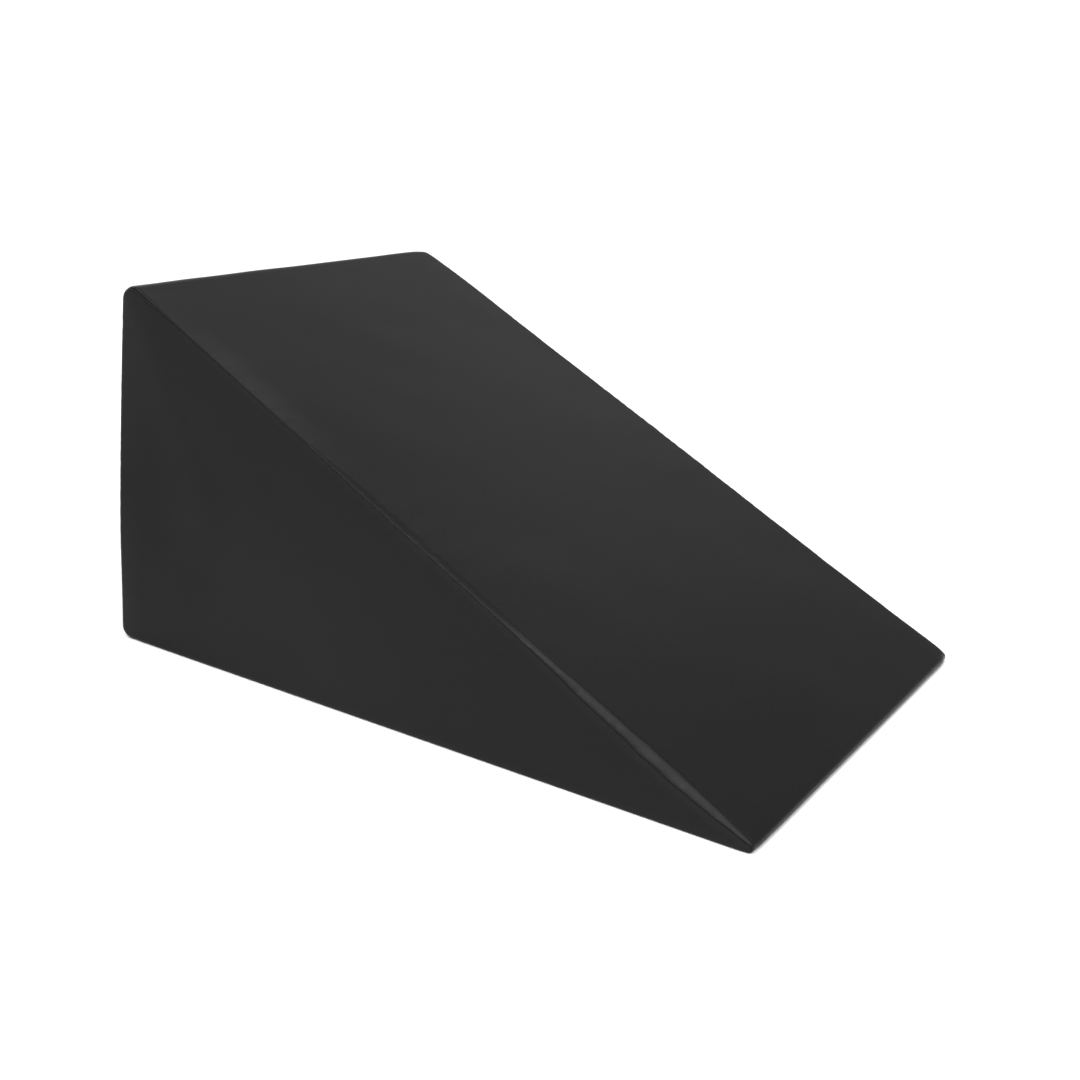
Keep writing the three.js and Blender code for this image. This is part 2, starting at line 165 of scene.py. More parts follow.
DEG = math.radians
BASE_RIM = [(0, 2.6), (60, 2.6), (T_HEEL_ARC - 40, 2.8), (T_HEEL_ARC, 3.6), (T_BACK + 30, 5.0)]
RIM_R = {
    -1: table(BASE_RIM + [(T_TOP_ARC - 20, 5.0), (on_slope(0.02), 4.6), (on_slope(0.08), 1.3), (on_slope(0.34), 1.2), (on_slope(0.42), 1.5), (on_slope(0.62), 1.6)]
        + [(on_slope(0.73), 2.8), (on_slope(0.94), 3.0), (T_TOE_ARC, 2.6)]),
    1: table(BASE_RIM + [(T_TOP_ARC - 40, 6.0), (T_TOP_ARC - 5, 9.0), (on_slope(0.02), 9.0), (on_slope(0.09), 5.0), (on_slope(0.5), 4.4), (on_slope(0.93), 4.2), (T_TOE_ARC, 2.6)]),
}
# a rim is flattened where the foam's edge is crushed: how wide the flat is, and which way it faces
FLAT_W = {
    -1: table([(0, 0), (T_BACK, 0), (T_TOP_ARC, 0), (on_slope(0.31), 0), (on_slope(0.42), 6.5), (on_slope(0.62), 6.0)]
        + [(on_slope(0.68), 2.4), (on_slope(0.71), 2.2), (on_slope(0.78), 4.6), (on_slope(0.84), 5.7), (on_slope(0.91), 5.8), (on_slope(0.95), 4.2), (on_slope(0.985), 1.0), (T_TOE_ARC + 3, 0)]),
    1: table([(0, 0), (T_BACK, 0), (on_slope(0.05), 0), (on_slope(0.2), 2), (on_slope(0.5), 1), (on_slope(0.8), 3), (on_slope(0.95), 1), (T_TOE_ARC, 0)]),
}
FLAT_A = {
    -1: table([(0, DEG(45)), (T_TOP_ARC - 60, DEG(45)), (T_TOP_ARC + 20, DEG(10)), (on_slope(0.33), DEG(12)), (on_slope(0.42), DEG(12)), (on_slope(0.65), DEG(12)), (on_slope(0.7), DEG(45)), (T_TOE_ARC, DEG(45))]),
    1: table([(0, DEG(45)), (T_TOE_ARC, DEG(45))]),
}
RIM_A = {
    -1: table([(0, DEG(48)), (T_HEEL_ARC, DEG(48)), (T_TOP_ARC - 10, DEG(50)), (on_slope(0.05), DEG(46)), (on_slope(0.33), DEG(46)), (on_slope(0.4), DEG(52))]
        + [(on_slope(0.63), DEG(54)), (on_slope(0.72), DEG(76)), (on_slope(0.92), DEG(78)), (on_slope(0.98), DEG(64)), (T_TOE_ARC + 10, DEG(50))]),
    1: table([(0, DEG(48)), (T_HEEL_ARC, DEG(48)), (T_TOP_ARC - 10, DEG(52)), (on_slope(0.05), DEG(66)), (on_slope(0.9), DEG(70)), (T_TOE_ARC + 10, DEG(50))]),
}
# radius of the two turned edges at a rim seam, on the wrapping panel and on the side, and half the opening
LIP_WRAP = {
    -1: table([(0, 0.8), (T_HEEL_ARC, 1.2), (T_TOP_ARC, 1.1), (on_slope(0.05), 0.4), (on_slope(0.33), 0.4), (on_slope(0.45), 0.35), (on_slope(0.62), 0.35), (on_slope(0.72), 0.26), (T_TOE_ARC, 0.4)]),
    1: table([(0, 0.8), (T_HEEL_ARC, 1.2), (on_slope(0.1), 0.9), (on_slope(0.9), 0.9)]),
}
LIP_SIDE = {
    -1: table([(0, 0.6), (T_HEEL_ARC, 1.0), (T_TOP_ARC, 0.9), (on_slope(0.05), 0.4), (on_slope(0.33), 0.4), (on_slope(0.42), 0.4), (on_slope(0.62), 0.35), (on_slope(0.72), 0.22), (T_TOE_ARC, 0.3)]),
    1: table([(0, 0.6), (T_HEEL_ARC, 1.0), (on_slope(0.1), 0.8), (on_slope(0.9), 0.8)]),
}
OPEN = {
    -1: table([(0, 0.12), (T_HEEL_ARC, 0.2), (T_TOP_ARC, 0.15), (on_slope(0.06), 0.1), (on_slope(0.35), 0.1), (on_slope(0.6), 0.11), (on_slope(0.75), 0.09), (T_TOE_ARC, 0.09)]),
    1: table([(0, 0.12), (T_HEEL_ARC, 0.2), (on_slope(0.1), 0.12)]),
}
# how strongly the rim seams pucker
PUCKER = {k: table([(0, 0.3), (T_BACK, 0.35), (T_TOP_ARC - 20, 0.35), (on_slope(0.1), 0.5), (on_slope(0.34), 0.6), (on_slope(0.42), 1.3), (on_slope(0.64), 1.2), (on_slope(0.75), 0.5), (on_slope(0.9), 0.5), (T_TOE_ARC, 0.3)]) for k in (-1, 1)}
ANG = np.linspace(0, math.pi / 2, 91)


def waves(n, shortest, longest, dims, seed):
    """A smooth random field with about unit spread, a sum of sines between two wavelengths."""
    r = np.random.default_rng(seed)
    wavelength = np.exp(r.uniform(math.log(shortest), math.log(longest), n))
    k = r.normal(size=(n, dims))
    k = k / np.linalg.norm(k, axis=1)[:, None] * (2 * math.pi / wavelength)[:, None]
    phase = r.uniform(0, 2 * math.pi, n)

    def f(p):
        p = np.asarray(p, float)
        if dims == 1:
            p = p[..., None]
        out = np.zeros(p.shape[:-1])
        for i in range(n):
            out += np.sin(p @ k[i] + phase[i])
        return out * math.sqrt(2 / n)

    return f


ragged = {s: waves(14, 22, 90, 1, 90 + s) for s in (-1, 1)}
wander = {s: waves(10, 30, 90, 1, 95 + s) for s in (-1, 1)}


def seam_angle(s, ts):
    return RIM_A[s](ts) + DEG(1.0) * wander[s](ts) * PUCKER[s](ts)


def rim_curve(s, ts):
    """Cross-section of a rim at each t, against the angle it has turned: arc length, reach across, depth."""
    g = np.exp(-(((ANG - FLAT_A[s](ts)[:, None]) / DEG(8)) ** 2))
    da = ANG[1] - ANG[0]
    g /= g.sum(1, keepdims=True) * da
    flat = np.maximum(FLAT_W[s](ts), 0) * (1 + 0.08 * ragged[s](ts))
    r = RIM_R[s](ts)[:, None] + flat[:, None] * g
    ds = 0.5 * (r[:, 1:] + r[:, :-1]) * da
    am = 0.5 * (ANG[1:] + ANG[:-1])
    zero = np.zeros((len(ts), 1))
    return tuple(np.concatenate([zero, np.cumsum(ds * k, 1)], 1) for k in (1.0, np.cos(am), np.sin(am)))


def rim_at(s, ts, off):
    """A point's reach, depth and angle, off mm from the rim's seam towards the broad faces (+) or the side (-)."""
    S, X, D = rim_curve(s, ts)
    phi = seam_angle(s, ts)
    off = np.broadcast_to(off, (len(ts), np.shape(off)[-1]))
    x, depth, ang = (np.zeros(off.shape) for _ in range(3))
    for i in range(len(ts)):
        q = np.interp(phi[i], ANG, S[i]) - off[i]
        x[i] = HALF - X[i, -1] + np.interp(q, S[i], X[i]) + np.minimum(q, 0)
        depth[i] = np.interp(q, S[i], D[i]) + np.maximum(q - S[i, -1], 0)
        ang[i] = np.interp(q, S[i], ANG)
    return x, depth, ang


def rim_to_middle(s, ts):
    S, X, _ = rim_curve(s, ts)
    phi = seam_angle(s, ts)
    return np.array([np.interp(phi[i], ANG, S[i]) for i in range(len(ts))]) + HALF - X[:, -1]


# ---------------------------------------------------------------- small relief, the same on every run
broad = waves(14, 110, 320, 3, 1)
middling = waves(16, 45, 90, 3, 2)
stitch_pull = {s: waves(18, 7, 21, 1, 10 + s) for s in (-1, 1, 2, 3, 4, 5, 6)}
long_pull = {s: waves(12, 26, 75, 1, 30 + s) for s in (-1, 1, 2, 3, 4, 5, 6)}


def lip(s, r):
    """How far an edge turned at radius r has sunk at distance s from its wall."""
    q = np.clip(r - s, 0, r)
    return r - np.sqrt(np.maximum(r * r - q * q, 0))


def seam_relief(u, s, key, amount=1.0):
    """Puckers that the seam's thread makes: u along the seam, s away from it."""
    near = np.exp(-s / 5.0) * (1 - np.exp(-s / 0.8))
    far = np.exp(-s / 30.0) * (1 - np.exp(-s / 6.0))
    return amount * (
        near * (0.17 * stitch_pull[key](u) + 0.06 * np.cos(2 * math.pi * u / 4.0))
        + far * 0.10 * long_pull[key](u)
        - 0.3 * np.exp(-s / 7.0)
    )


def resting(n2):
    """0 where a surface faces the floor and is pressed flat by it, 1 elsewhere."""
    return np.clip(1 + 1.4 * n2[:, 1], 0, 1)


def warp(p):
    """The cover's pull: the top edge comes forward, less and less down the slope and down the back."""
    p = np.array(p, float)
    y, z = p[..., 1], p[..., 2]
    ys = apex_y + z / math.tan(slope)
    q = np.clip((y - ys) / np.maximum(BACK - ys, 25.0), 0, 1)
    g_slope = np.clip(z / APEX_Z, 0, None)
    g_back = np.clip((z - 88) / (APEX_Z - 88), 0, None) ** 1.3
    p[..., 1] = y - LEAN * ((1 - q) * g_slope + q * g_back)
    k = np.clip(z / APEX_Z, 0, 1)
    across = 1 + WIDE * (1 - k) - NARROW * k
    p[..., 0] *= across
    # corners where the cover pulls the foam in: the far top one, and the two at the toe
    for cx, cy, cz, pull, spread in (
        (HALF, BACK - LEAN, 300, (-5.5, -1.5, -4.5), 15),
        (HALF, TOE, 3, (-1.5, 1.5, 0), 9),
        (-HALF, TOE, 3, (0.8, 0.8, 0), 8),
    ):
        d = np.sqrt((p[..., 0] - cx) ** 2 + (p[..., 1] - cy) ** 2 + (p[..., 2] - cz) ** 2)
        p = p + np.exp(-((d / spread) ** 2))[..., None] * np.array(pull)
    return p


def depth_room(ts):
    """How far in from the outline a side's edge may reach: little beside the thin toe, and less than a bend's radius."""
    from_toe = np.minimum(np.abs(ts - T_TOE_ARC), np.minimum(np.abs(ts - TOTAL), ts))
    from_toe[ts > T_TOE_ARC] = 0
    from_top = np.maximum(np.abs(ts - (T_TOP_ARC + T_SLOPE) / 2) - (T_SLOPE - T_TOP_ARC) / 2, 0)
    return np.minimum(np.minimum(R_TOE - 0.35 + 0.2 * from_toe, R_TOP - 0.5 + 0.4 * from_top), 13.0)


# ---------------------------------------------------------------- mesh helpers
def make(name, points, faces, body="wedge", smooth=True):
    mesh = bpy.data.meshes.new(name)
    mesh.from_pydata([tuple(p) for p in np.asarray(points, float) * 0.001], [], faces)
    mesh.validate()
    if smooth:
        mesh.polygons.foreach_set("use_smooth", [True] * len(mesh.polygons))
    mesh.update()
    o = bpy.data.objects.new(name, mesh)
    bpy.context.scene.collection.objects.link(o)
    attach(o, body)
    return o


def grid_faces(rows, cols, flip=False, close_rows=False):
    i, j = np.meshgrid(np.arange(rows if close_rows else rows - 1), np.arange(cols - 1), indexing="ij")
    i2 = (i + 1) % rows
    a, b, c, d = i * cols + j, i * cols + j + 1, i2 * cols + j + 1, i2 * cols + j
    q = np.stack([a, d, c, b] if flip else [a, b, c, d], -1).reshape(-1, 4)
    return q


def set_attribute(o, name, values):
    a = o.data.attributes.new(name, "FLOAT", "POINT")
    a.data.foreach_set("value", np.asarray(values, np.float32))


def apply_modifiers(o):
    dg = bpy.context.evaluated_depsgraph_get()
    mesh = bpy.data.meshes.new_from_object(o.evaluated_get(dg), preserve_all_data_layers=True, depsgraph=dg)
    old = o.data
    o.modifiers.clear()
    o.data = mesh
    mesh.name = old.name
    bpy.data.meshes.remove(old)


def thicken(o, t=1.1):
    m = o.modifiers.new("thickness", "SOLIDIFY")
    m.thickness = t * 0.001
    m.offset = -1
    m.use_even_offset = False
    apply_modifiers(o)


NEAR_EDGE = np.array([0, 0.12, 0.3, 0.55, 0.85, 1.2, 1.6, 2.1, 2.7, 3.4, 4.2, 5.1, 6.1, 7.2, 8.5, 10, 12, 14.5, 17.5, 21, 25])


def samples(t0, t1, edge0, edge1, flat=3.0, bend=1.0):
    """Positions from t0 to t1, close together at turned edges and on bends."""
    out = [t0]
    t = t0
    while t < t1 - 1e-6:
        k = int(np.searchsorted(STARTS, t % TOTAL, side="right") - 1)
        step = bend if SEGMENTS[min(k, len(SEGMENTS) - 1)][0] == "arc" else flat
        t = min(t + step, t1)
        out.append(t)
    out = np.array(out)
    span = t1 - t0
    if edge0:
        out = np.concatenate([t0 + NEAR_EDGE[NEAR_EDGE < span / 2], out[out > t0 + min(26, span / 2)]])
    if edge1:
        out = np.concatenate([out[out < t1 - min(26, span / 2)], (t1 - NEAR_EDGE[NEAR_EDGE < span / 2])[::-1]])
    return np.unique(np.round(out, 4))


# ---------------------------------------------------------------- the panels that wrap round: slope, back and base
FLANGE = [2.4, 1.95]  # depth of a seam's turned-in edge below the surface


def wrap_panel(name, node, t0, t1, key0, key1, crown, relief, dense=1.5, hem=None):
    """A panel from t0 to t1 along the outline, and from rim seam to rim seam across the width.
    key0 and key1 name the straight seams' puckers; hem marks an end that is a folded hem instead."""
    a, b = t0 + GAP, t1 - GAP
    ts = samples(a, b, True, True, flat=dense, bend=0.6)
    sig = np.concatenate([NEAR_EDGE, [30, 36, 43, 51, 60, 70, 81, 93, 106, 120, 135, 151, 168, 186]])
    # columns: from the -X rim seam to the +X one, even steps near the seams and wide ones in the middle
    P, N2 = profile(ts)
    halves = []
    for s in (-1, 1):
        gap = OPEN[s](ts)[:, None]
        rest = rim_to_middle(s, ts) - gap[:, 0]
        block = np.stack([np.full(len(ts), g) if g <= 25 else 25 + (g - 25) * (rest - 25) / 175.0 for g in sig] + [rest], 1)
        x, depth, ang = rim_at(s, ts, block + gap)
        halves.append((block, s * x, depth, s * ang))
    (b0, x0, d0, a0), (b1, x1, d1, a1) = halves
    edge_d = np.concatenate([b0, b1[:, -2::-1]], 1)
    across = np.concatenate([x0, x1[:, -2::-1]], 1)
    depth = np.concatenate([d0, d1[:, -2::-1]], 1)
    ang = np.concatenate([a0, a1[:, -2::-1]], 1)
    X = np.zeros(across.shape + (3,))
    X[..., 0] = across
    X[..., 1:] = P[:, None, :] - N2[:, None, :] * depth[..., None]
    nrm = np.zeros_like(X)
    nrm[..., 0] = np.sin(ang)
    nrm[..., 1:] = N2[:, None, :] * np.cos(ang)[..., None]
    allcols = [(-1, 0)] * b0.shape[1] + [(1, 0)] * (b1.shape[1] - 1)
    tt = np.repeat(ts[:, None], len(allcols), 1)
    e0, e1 = tt - a, b - tt
    sign = np.array([s for s, _ in allcols])[None, :]
    u = tt
    xx = X[..., 0]
    # turned edges on all four sides, rounded where two meet
    r0 = LIP if hem != 0 else 1.2
    r1 = LIP if hem != 1 else 1.2
    rs = np.where(sign < 0, LIP_WRAP[-1](ts)[:, None], LIP_WRAP[1](ts)[:, None])
    qs = np.clip(rs - edge_d, 0, None) / rs
    q0 = np.clip(r0 - e0, 0, None) / r0
    q1 = np.clip(r1 - e1, 0, None) / r1
    qe, re = np.maximum(q0, q1), np.where(q0 > q1, r0, r1)
    q = np.minimum(np.sqrt(qs**2 + qe**2), 1)
    sunk = (rs * qs**2 + re * qe**2 + 1e-9) / (qs**2 + qe**2 + 1e-9) * (1 - np.sqrt(np.maximum(1 - q * q, 0)))
    pucker = np.where(sign < 0, PUCKER[-1](ts)[:, None], PUCKER[1](ts)[:, None])
    disp = np.where(sign < 0, seam_relief(u, edge_d, -1, relief), seam_relief(u, edge_d, 1, relief)) * pucker
    if hem != 0:
        disp += seam_relief(xx, e0, key0, 0.5 * relief)
    if hem != 1:
        disp += seam_relief(xx, e1, key1, 0.5 * relief)
    uu = (tt - a) / (b - a)
    bulge = (1 - (xx / HALF) ** 2) * np.sin(math.pi * np.clip(uu, 0, 1)) ** 0.6
    inner = (1 - np.exp(-edge_d / 18.0)) * (1 - np.exp(-np.minimum(e0, e1) / 12.0))
    disp += crown * np.clip(bulge, 0, 1) + relief * inner * (0.32 * broad(X) + 0.09 * middling(X))
    X = X + nrm * (disp * resting(N2)[:, None] - sunk)[..., None]
    if hem is not None:
        # beyond the zip's stops the two hems close over the tape ends
        k = np.clip((np.abs(X[..., 0]) - 189.8) / 2.4, 0, 1)
        shut = k * k * (3 - 2 * k) * np.clip(1 - (e0 if hem == 0 else e1) / 26.0, 0, 1)
        X[..., 2] += shut * ((ZIP_Z + 0.15 - HEM_UP) if hem == 0 else (ZIP_Z - 0.15 - HEM_LOW))
    # the turned-in edges go on down, along the seam's normal, side by side with their neighbours'
    run = np.clip((np.minimum(e0, e1)[:, :1] - 2) / 8.0, 0, 1)
    seam_n = {}
    for s in (-1, 1):
        phi = seam_angle(s, ts)
        seam_n[s] = run * np.column_stack([s * np.sin(phi), N2 * np.cos(phi)[:, None]]) + (1 - run) * nrm[:, 0 if s < 0 else -1]
    rows, ncol = X.shape[:2]

    def border(arr_p, arr_n, extra):
        return arr_p - arr_n * extra

    full = np.zeros((rows + 4, ncol + 4, 3))
    full[2:-2, 2:-2] = X
    nf = np.zeros_like(full)
    nf[2:-2, 2:-2] = nrm
    for k, below in ((1, FLANGE[1]), (0, FLANGE[0])):
        full[2:-2, k] = X[:, 0] - seam_n[-1] * (below - rs[:, 0])[:, None]
        full[2:-2, -1 - k] = X[:, -1] - seam_n[1] * (below - rs[:, -1])[:, None]
        nf[2:-2, k], nf[2:-2, -1 - k] = nrm[:, 0], nrm[:, -1]
    for k, depth in ((1, FLANGE[1] - LIP), (0, FLANGE[0] - LIP)):
        full[k, :] = full[2, :] - nf[2, :] * depth
        full[-1 - k, :] = full[-3, :] - nf[-3, :] * depth
    rows, ncol = full.shape[:2]
    pts = warp(full.reshape(-1, 3))
    o = make(name, pts, grid_faces(rows, ncol, flip=True).tolist())
    wear = np.zeros((rows, ncol))
    wear[2:-2, 2:-2] = np.exp(-((edge_d - 3.5) / 4.0) ** 2)
    set_attribute(o, "wear", wear.ravel())
    fold = np.zeros((rows, ncol))
    fold[:] = 1
    fold[2:-2, 2:-2] = q
    set_attribute(o, "fold", fold.ravel())
    # painted highlight: a lighter patch on the slope beside the upper part of the -X seam, standing in for light on the
    # soft roll there
    rub_and_highlight = np.zeros((rows, ncol))
    along = (tt - on_slope(0.21)) / (on_slope(0.21) - on_slope(0.10))
    rub_and_highlight[2:-2, 2:-2] = np.where(sign < 0, np.exp(-((edge_d - 9) / 15.0) ** 2) * np.exp(-(along**2)), 0)
    set_attribute(o, "rub_and_highlight", rub_and_highlight.ravel())
    thicken(o)
    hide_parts(node)
    return o


# ---------------------------------------------------------------- the two side triangles
def side_panel(name, node, s):
    n = 1060
    ts = np.linspace(0, TOTAL, n, endpoint=False)
    P, N2 = profile(ts)
    sig = np.array([0, 0.12, 0.3, 0.55, 0.85, 1.2, 1.6, 2.1, 2.7, 3.4, 4.2, 5.0])
    # how deep the rings may reach: less beside the toe, where the wedge is thin
    cap = depth_room(ts)
    S, _, D = rim_curve(s, ts)
    phi = seam_angle(s, ts)
    gap = OPEN[s](ts)
    s_seam = np.array([np.interp(phi[i], ANG, S[i]) for i in range(n)])
    room = np.maximum(S[:, -1] - s_seam, 0) + (cap - D[:, -1])
    reach = np.minimum(5.0, room - gap)
    lip_r = LIP_SIDE[s](ts)
    rings = []
    for g in sig:
        d = g / 5.0 * reach
        x, depth, ang = (k[:, 0] for k in rim_at(s, ts, -(d + gap)[:, None]))
        p = np.zeros((n, 3))
        p[:, 0] = s * x
        p[:, 1:] = P - N2 * depth[:, None]
        nn = np.zeros((n, 3))
        nn[:, 0] = s * np.sin(ang)
        nn[:, 1:] = N2 * np.cos(ang)[:, None]
        rings.append((p, nn, d))
    outer_loop = rings[-1][0][:, 1:]

    def inside_disp(p, d, u):
        crown = 1.9 * (1 - np.exp(-d / 60.0))
        return crown + (1 - np.exp(-d / 16.0)) * (0.30 * broad(p + 500) + 0.07 * middling(p + 300)) + seam_relief(u, d, s, 0.9) * PUCKER[s](u)

    pts, wear, fold = [], [], []
    for p, nn, d in rings:
        rest = resting(N2)
        disp = -lip(d, lip_r) + inside_disp(p, d, ts) * (rest + (1 - rest) * d / 5.0)
        pts.append(p + nn * disp[:, None])
        wear.append(np.exp(-((d - 1.5) / 3.5) ** 2))
        fold.append(np.clip(1 - d / LIP, 0, 1))
    # the turned-in edge
    p0, n0 = pts[0], np.column_stack([s * np.sin(phi), N2 * np.cos(phi)[:, None]])
    flange = [p0 - n0 * (FLANGE[0] - lip_r)[:, None], p0 - n0 * (FLANGE[1] - lip_r)[:, None]]
    pts = flange + pts
    wear = [np.zeros(n), np.zeros(n)] + wear
    fold = [np.ones(n), np.ones(n)] + fold
    m = len(pts)
    faces = []
    for k in range(m - 1):
        i = np.arange(n)
        a, b, c, d = k * n + i, k * n + (i + 1) % n, (k + 1) * n + (i + 1) % n, (k + 1) * n + i
        faces += (np.stack([a, b, c, d], -1) if s > 0 else np.stack([a, d, c, b], -1)).tolist()
    # the flat middle: an even net of points inside the last ring
    step = 6.5
    loop = [Vector(q) for q in outer_loop]
    ys = np.arange(outer_loop[:, 0].min(), outer_loop[:, 0].max(), step)
    cand = []
    for i, y in enumerate(ys):
        for z in np.arange(0 + (step / 2 if i % 2 else 0), outer_loop[:, 1].max(), step):
            cand.append((y, z))
    cand = np.array(cand)
    d2 = np.sqrt(((cand[:, None, :] - outer_loop[None, ::2, :]) ** 2).sum(-1))
    near, which = d2.min(1), d2.argmin(1) * 2
    inward = ((outer_loop[which] - cand) * N2[which]).sum(1) > 0
    keep = inward & (near > 3.2)
    cand, near, which = cand[keep], near[keep], which[keep]
    # a second ring, closer than the net, so that the triangles stay even near the edge
    extra = []
    last = None
    for i in range(n):
        q = outer_loop[i] - N2[i] * 1.8
        dd = np.sqrt(((outer_loop - q) ** 2).sum(1)).min()
        if dd > 1.5 and (last is None or math.dist(q, last) > 2.4):
            extra.append((q[0], q[1], dd, i))
            last = q
    extra = np.array(extra)
    inner = np.concatenate([cand, extra[:, :2]])
    inner_d = np.concatenate([near, extra[:, 2]])
    inner_w = np.concatenate([which, extra[:, 3].astype(int)])
    verts2 = loop + [Vector(q) for q in inner]
    edges = [(i, (i + 1) % n) for i in range(n)]
    out_v, _, out_f, orig_v, _, _ = geometry.delaunay_2d_cdt(verts2, edges, [], 1, 1e-5)
    base = (m - 1) * n
    index = {}
    new_pts, new_wear = [], []
    for k, src in enumerate(orig_v):
        src = sorted(src)
        if src and src[0] < n:
            index[k] = base + src[0]
        elif src:
            i = src[0] - n
            p = np.array([s * HALF, inner[i][0], inner[i][1]])
            d = inner_d[i] + reach[inner_w[i]]
            disp = float(inside_disp(p, np.array(d), ts[inner_w[i]]))
            p[0] += s * disp
            index[k] = m * n + len(new_pts)
            new_pts.append(p)
            new_wear.append(0.0)
    for f in out_f:
        ids = [index[k] for k in f if k in index]
        if len(set(ids)) == 3:
            y = [out_v[k] for k in f]
            area = (y[1][0] - y[0][0]) * (y[2][1] - y[0][1]) - (y[2][0] - y[0][0]) * (y[1][1] - y[0][1])
            cx = sum(q[0] for q in y) / 3
            cz = sum(q[1] for q in y) / 3
            if (area > 0) == (s > 0):
                faces.append(ids)
            else:
                faces.append(ids[::-1])
    allp = np.concatenate(pts + [np.array(new_pts)])
    o = make(name, warp(allp), faces)
    set_attribute(o, "wear", np.concatenate(wear + [np.array(new_wear)]))
    set_attribute(o, "fold", np.concatenate(fold + [np.zeros(len(new_pts))]))
    # painted shade: the -X side's colour is darkened towards its back and its bottom
    if s < 0:
        set_attribute(o, "painted_shade", np.clip((allp[:, 1] + 20) / 290, 0, 1) ** 2 * np.clip((300 - allp[:, 2]) / 150, 0, 1))
    thicken(o)
    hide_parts(node)
    return o


slope_cover = wrap_panel("slope_cover", "slope_panel", on_back(TOP_SEAM), TOTAL, 3, 4, 1.1, 1.0, dense=1.5)
base_cover = wrap_panel("base_cover", "base_panel", 0, on_back(HEEL_SEAM), 4, 5, 0.0, 0.0, dense=3.0)
back_upper_cover = wrap_panel("back_upper_cover", "back_panel_upper", on_back(HEM_UP) - GAP, on_back(TOP_SEAM), 2, 3, 1.2, 0.9, dense=2.0, hem=0)
back_lower_cover = wrap_panel("back_lower_cover", "back_panel_lower", on_back(HEEL_SEAM), on_back(HEM_LOW) + GAP, 5, 6, 0.3, 0.7, dense=2.0, hem=1)
left_side_cover = side_panel("left_side_cover", "left_side_panel", -1)
right_side_cover = side_panel("right_side_cover", "right_side_panel", 1)


# ---------------------------------------------------------------- thread: rows of single stitches
def stitches(name, node, path, normals, pitch=4.0, length=3.2, radius=0.4, arch=0.25):
    """Stitches along a path of points, each a short thread whose two ends dive into the vinyl."""
    path, normals = np.asarray(path, float), np.asarray(normals, float)
    seg = np.linalg.norm(np.diff(path, axis=0), axis=1)
    along = np.concatenate([[0], np.cumsum(seg)])
    count = int(along[-1] // pitch)
    rings, sides = 7, 8
    pts, faces = [], []

    def at(d):
        return (
            np.array([np.interp(d, along, path[:, k]) for k in range(3)]),
            np.array([np.interp(d, along, normals[:, k]) for k in range(3)]),
        )

    for i in range(count):
        mid_d = (i + 0.5) * along[-1] / count
        base = len(pts)
        centres = []
        for k in range(rings):
            f = k / (rings - 1) * 2 - 1
            c, nv = at(mid_d + f * length / 2)
            nv = nv / np.linalg.norm(nv)
            drop = arch * (f**2) * 1.6 + (0.25 if abs(f) == 1 else 0)
            centres.append((c - nv * drop, nv, radius * (1.0 if abs(f) < 0.9 else 0.62)))
        for k, (c, nv, r) in enumerate(centres):
            d = centres[min(k + 1, rings - 1)][0] - centres[max(k - 1, 0)][0]
            d /= np.linalg.norm(d)
            e1 = nv - d * (nv @ d)
            e1 /= np.linalg.norm(e1)
            e2 = np.cross(d, e1)
            for q in range(sides):
                a = 2 * math.pi * q / sides
                pts.append(c + r * (math.cos(a) * e1 + math.sin(a) * e2))
        for k in range(rings - 1):
            for q in range(sides):
                a, b = base + k * sides + q, base + k * sides + (q + 1) % sides
                faces.append((a, b, b + sides, a + sides))
        faces.append(tuple(base + q for q in range(sides))[::-1])
        faces.append(tuple(base + (rings - 1) * sides + q for q in range(sides)))
    o = make(name, pts, faces)
    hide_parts(node)
    return o


def rim_path(s, depth):
    ts = np.linspace(0, TOTAL, 1600)
    x, d, ang = (k[:, 0] for k in rim_at(s, ts, np.zeros((1, 1))))
    P, N2 = profile(ts)
    p = np.concatenate([(s * x)[:, None], P - N2 * d[:, None]], 1)
    nv = np.concatenate([(s * np.sin(ang))[:, None], N2 * np.cos(ang)[:, None]], 1)
    return warp(p - nv * depth), nv


def cross_path(y, z, normal, half):
    x = np.linspace(-half, half, 200)
    p = np.stack([x, np.full_like(x, y), np.full_like(x, z)], 1)
    return warp(p), np.repeat(np.array([normal], float), len(x), 0)


SEAM_DEPTH, RIM_DEPTH = 1.35, 1.75
threads = [
    stitches("left_seam_stitches", "left_seam_thread", *rim_path(-1, RIM_DEPTH)),
    stitches("right_seam_stitches", "right_seam_thread", *rim_path(1, RIM_DEPTH)),
    stitches("top_seam_stitches", "top_seam_thread", *cross_path(BACK - SEAM_DEPTH, TOP_SEAM, (0, 1, 0), HALF - 5)),
    stitches("heel_seam_stitches", "heel_seam_thread", *cross_path(BACK - SEAM_DEPTH, HEEL_SEAM, (0, 1, 0), HALF - 5)),
    stitches("toe_seam_stitches", "toe_seam_thread", *cross_path(TOE_SEAM, SEAM_DEPTH, (0, 0, -1), HALF - 5)),
    stitches("zip_topstitch_upper", "zip_stitching_upper", *cross_path(BACK - 0.25, STITCH_UP, (0, 1, 0), HALF - 9), length=3.0, arch=0.35),
    stitches("zip_topstitch_lower", "zip_stitching_lower", *cross_path(BACK - 0.25, STITCH_LOW, (0, 1, 0), HALF - 9), length=3.0, arch=0.35),
]


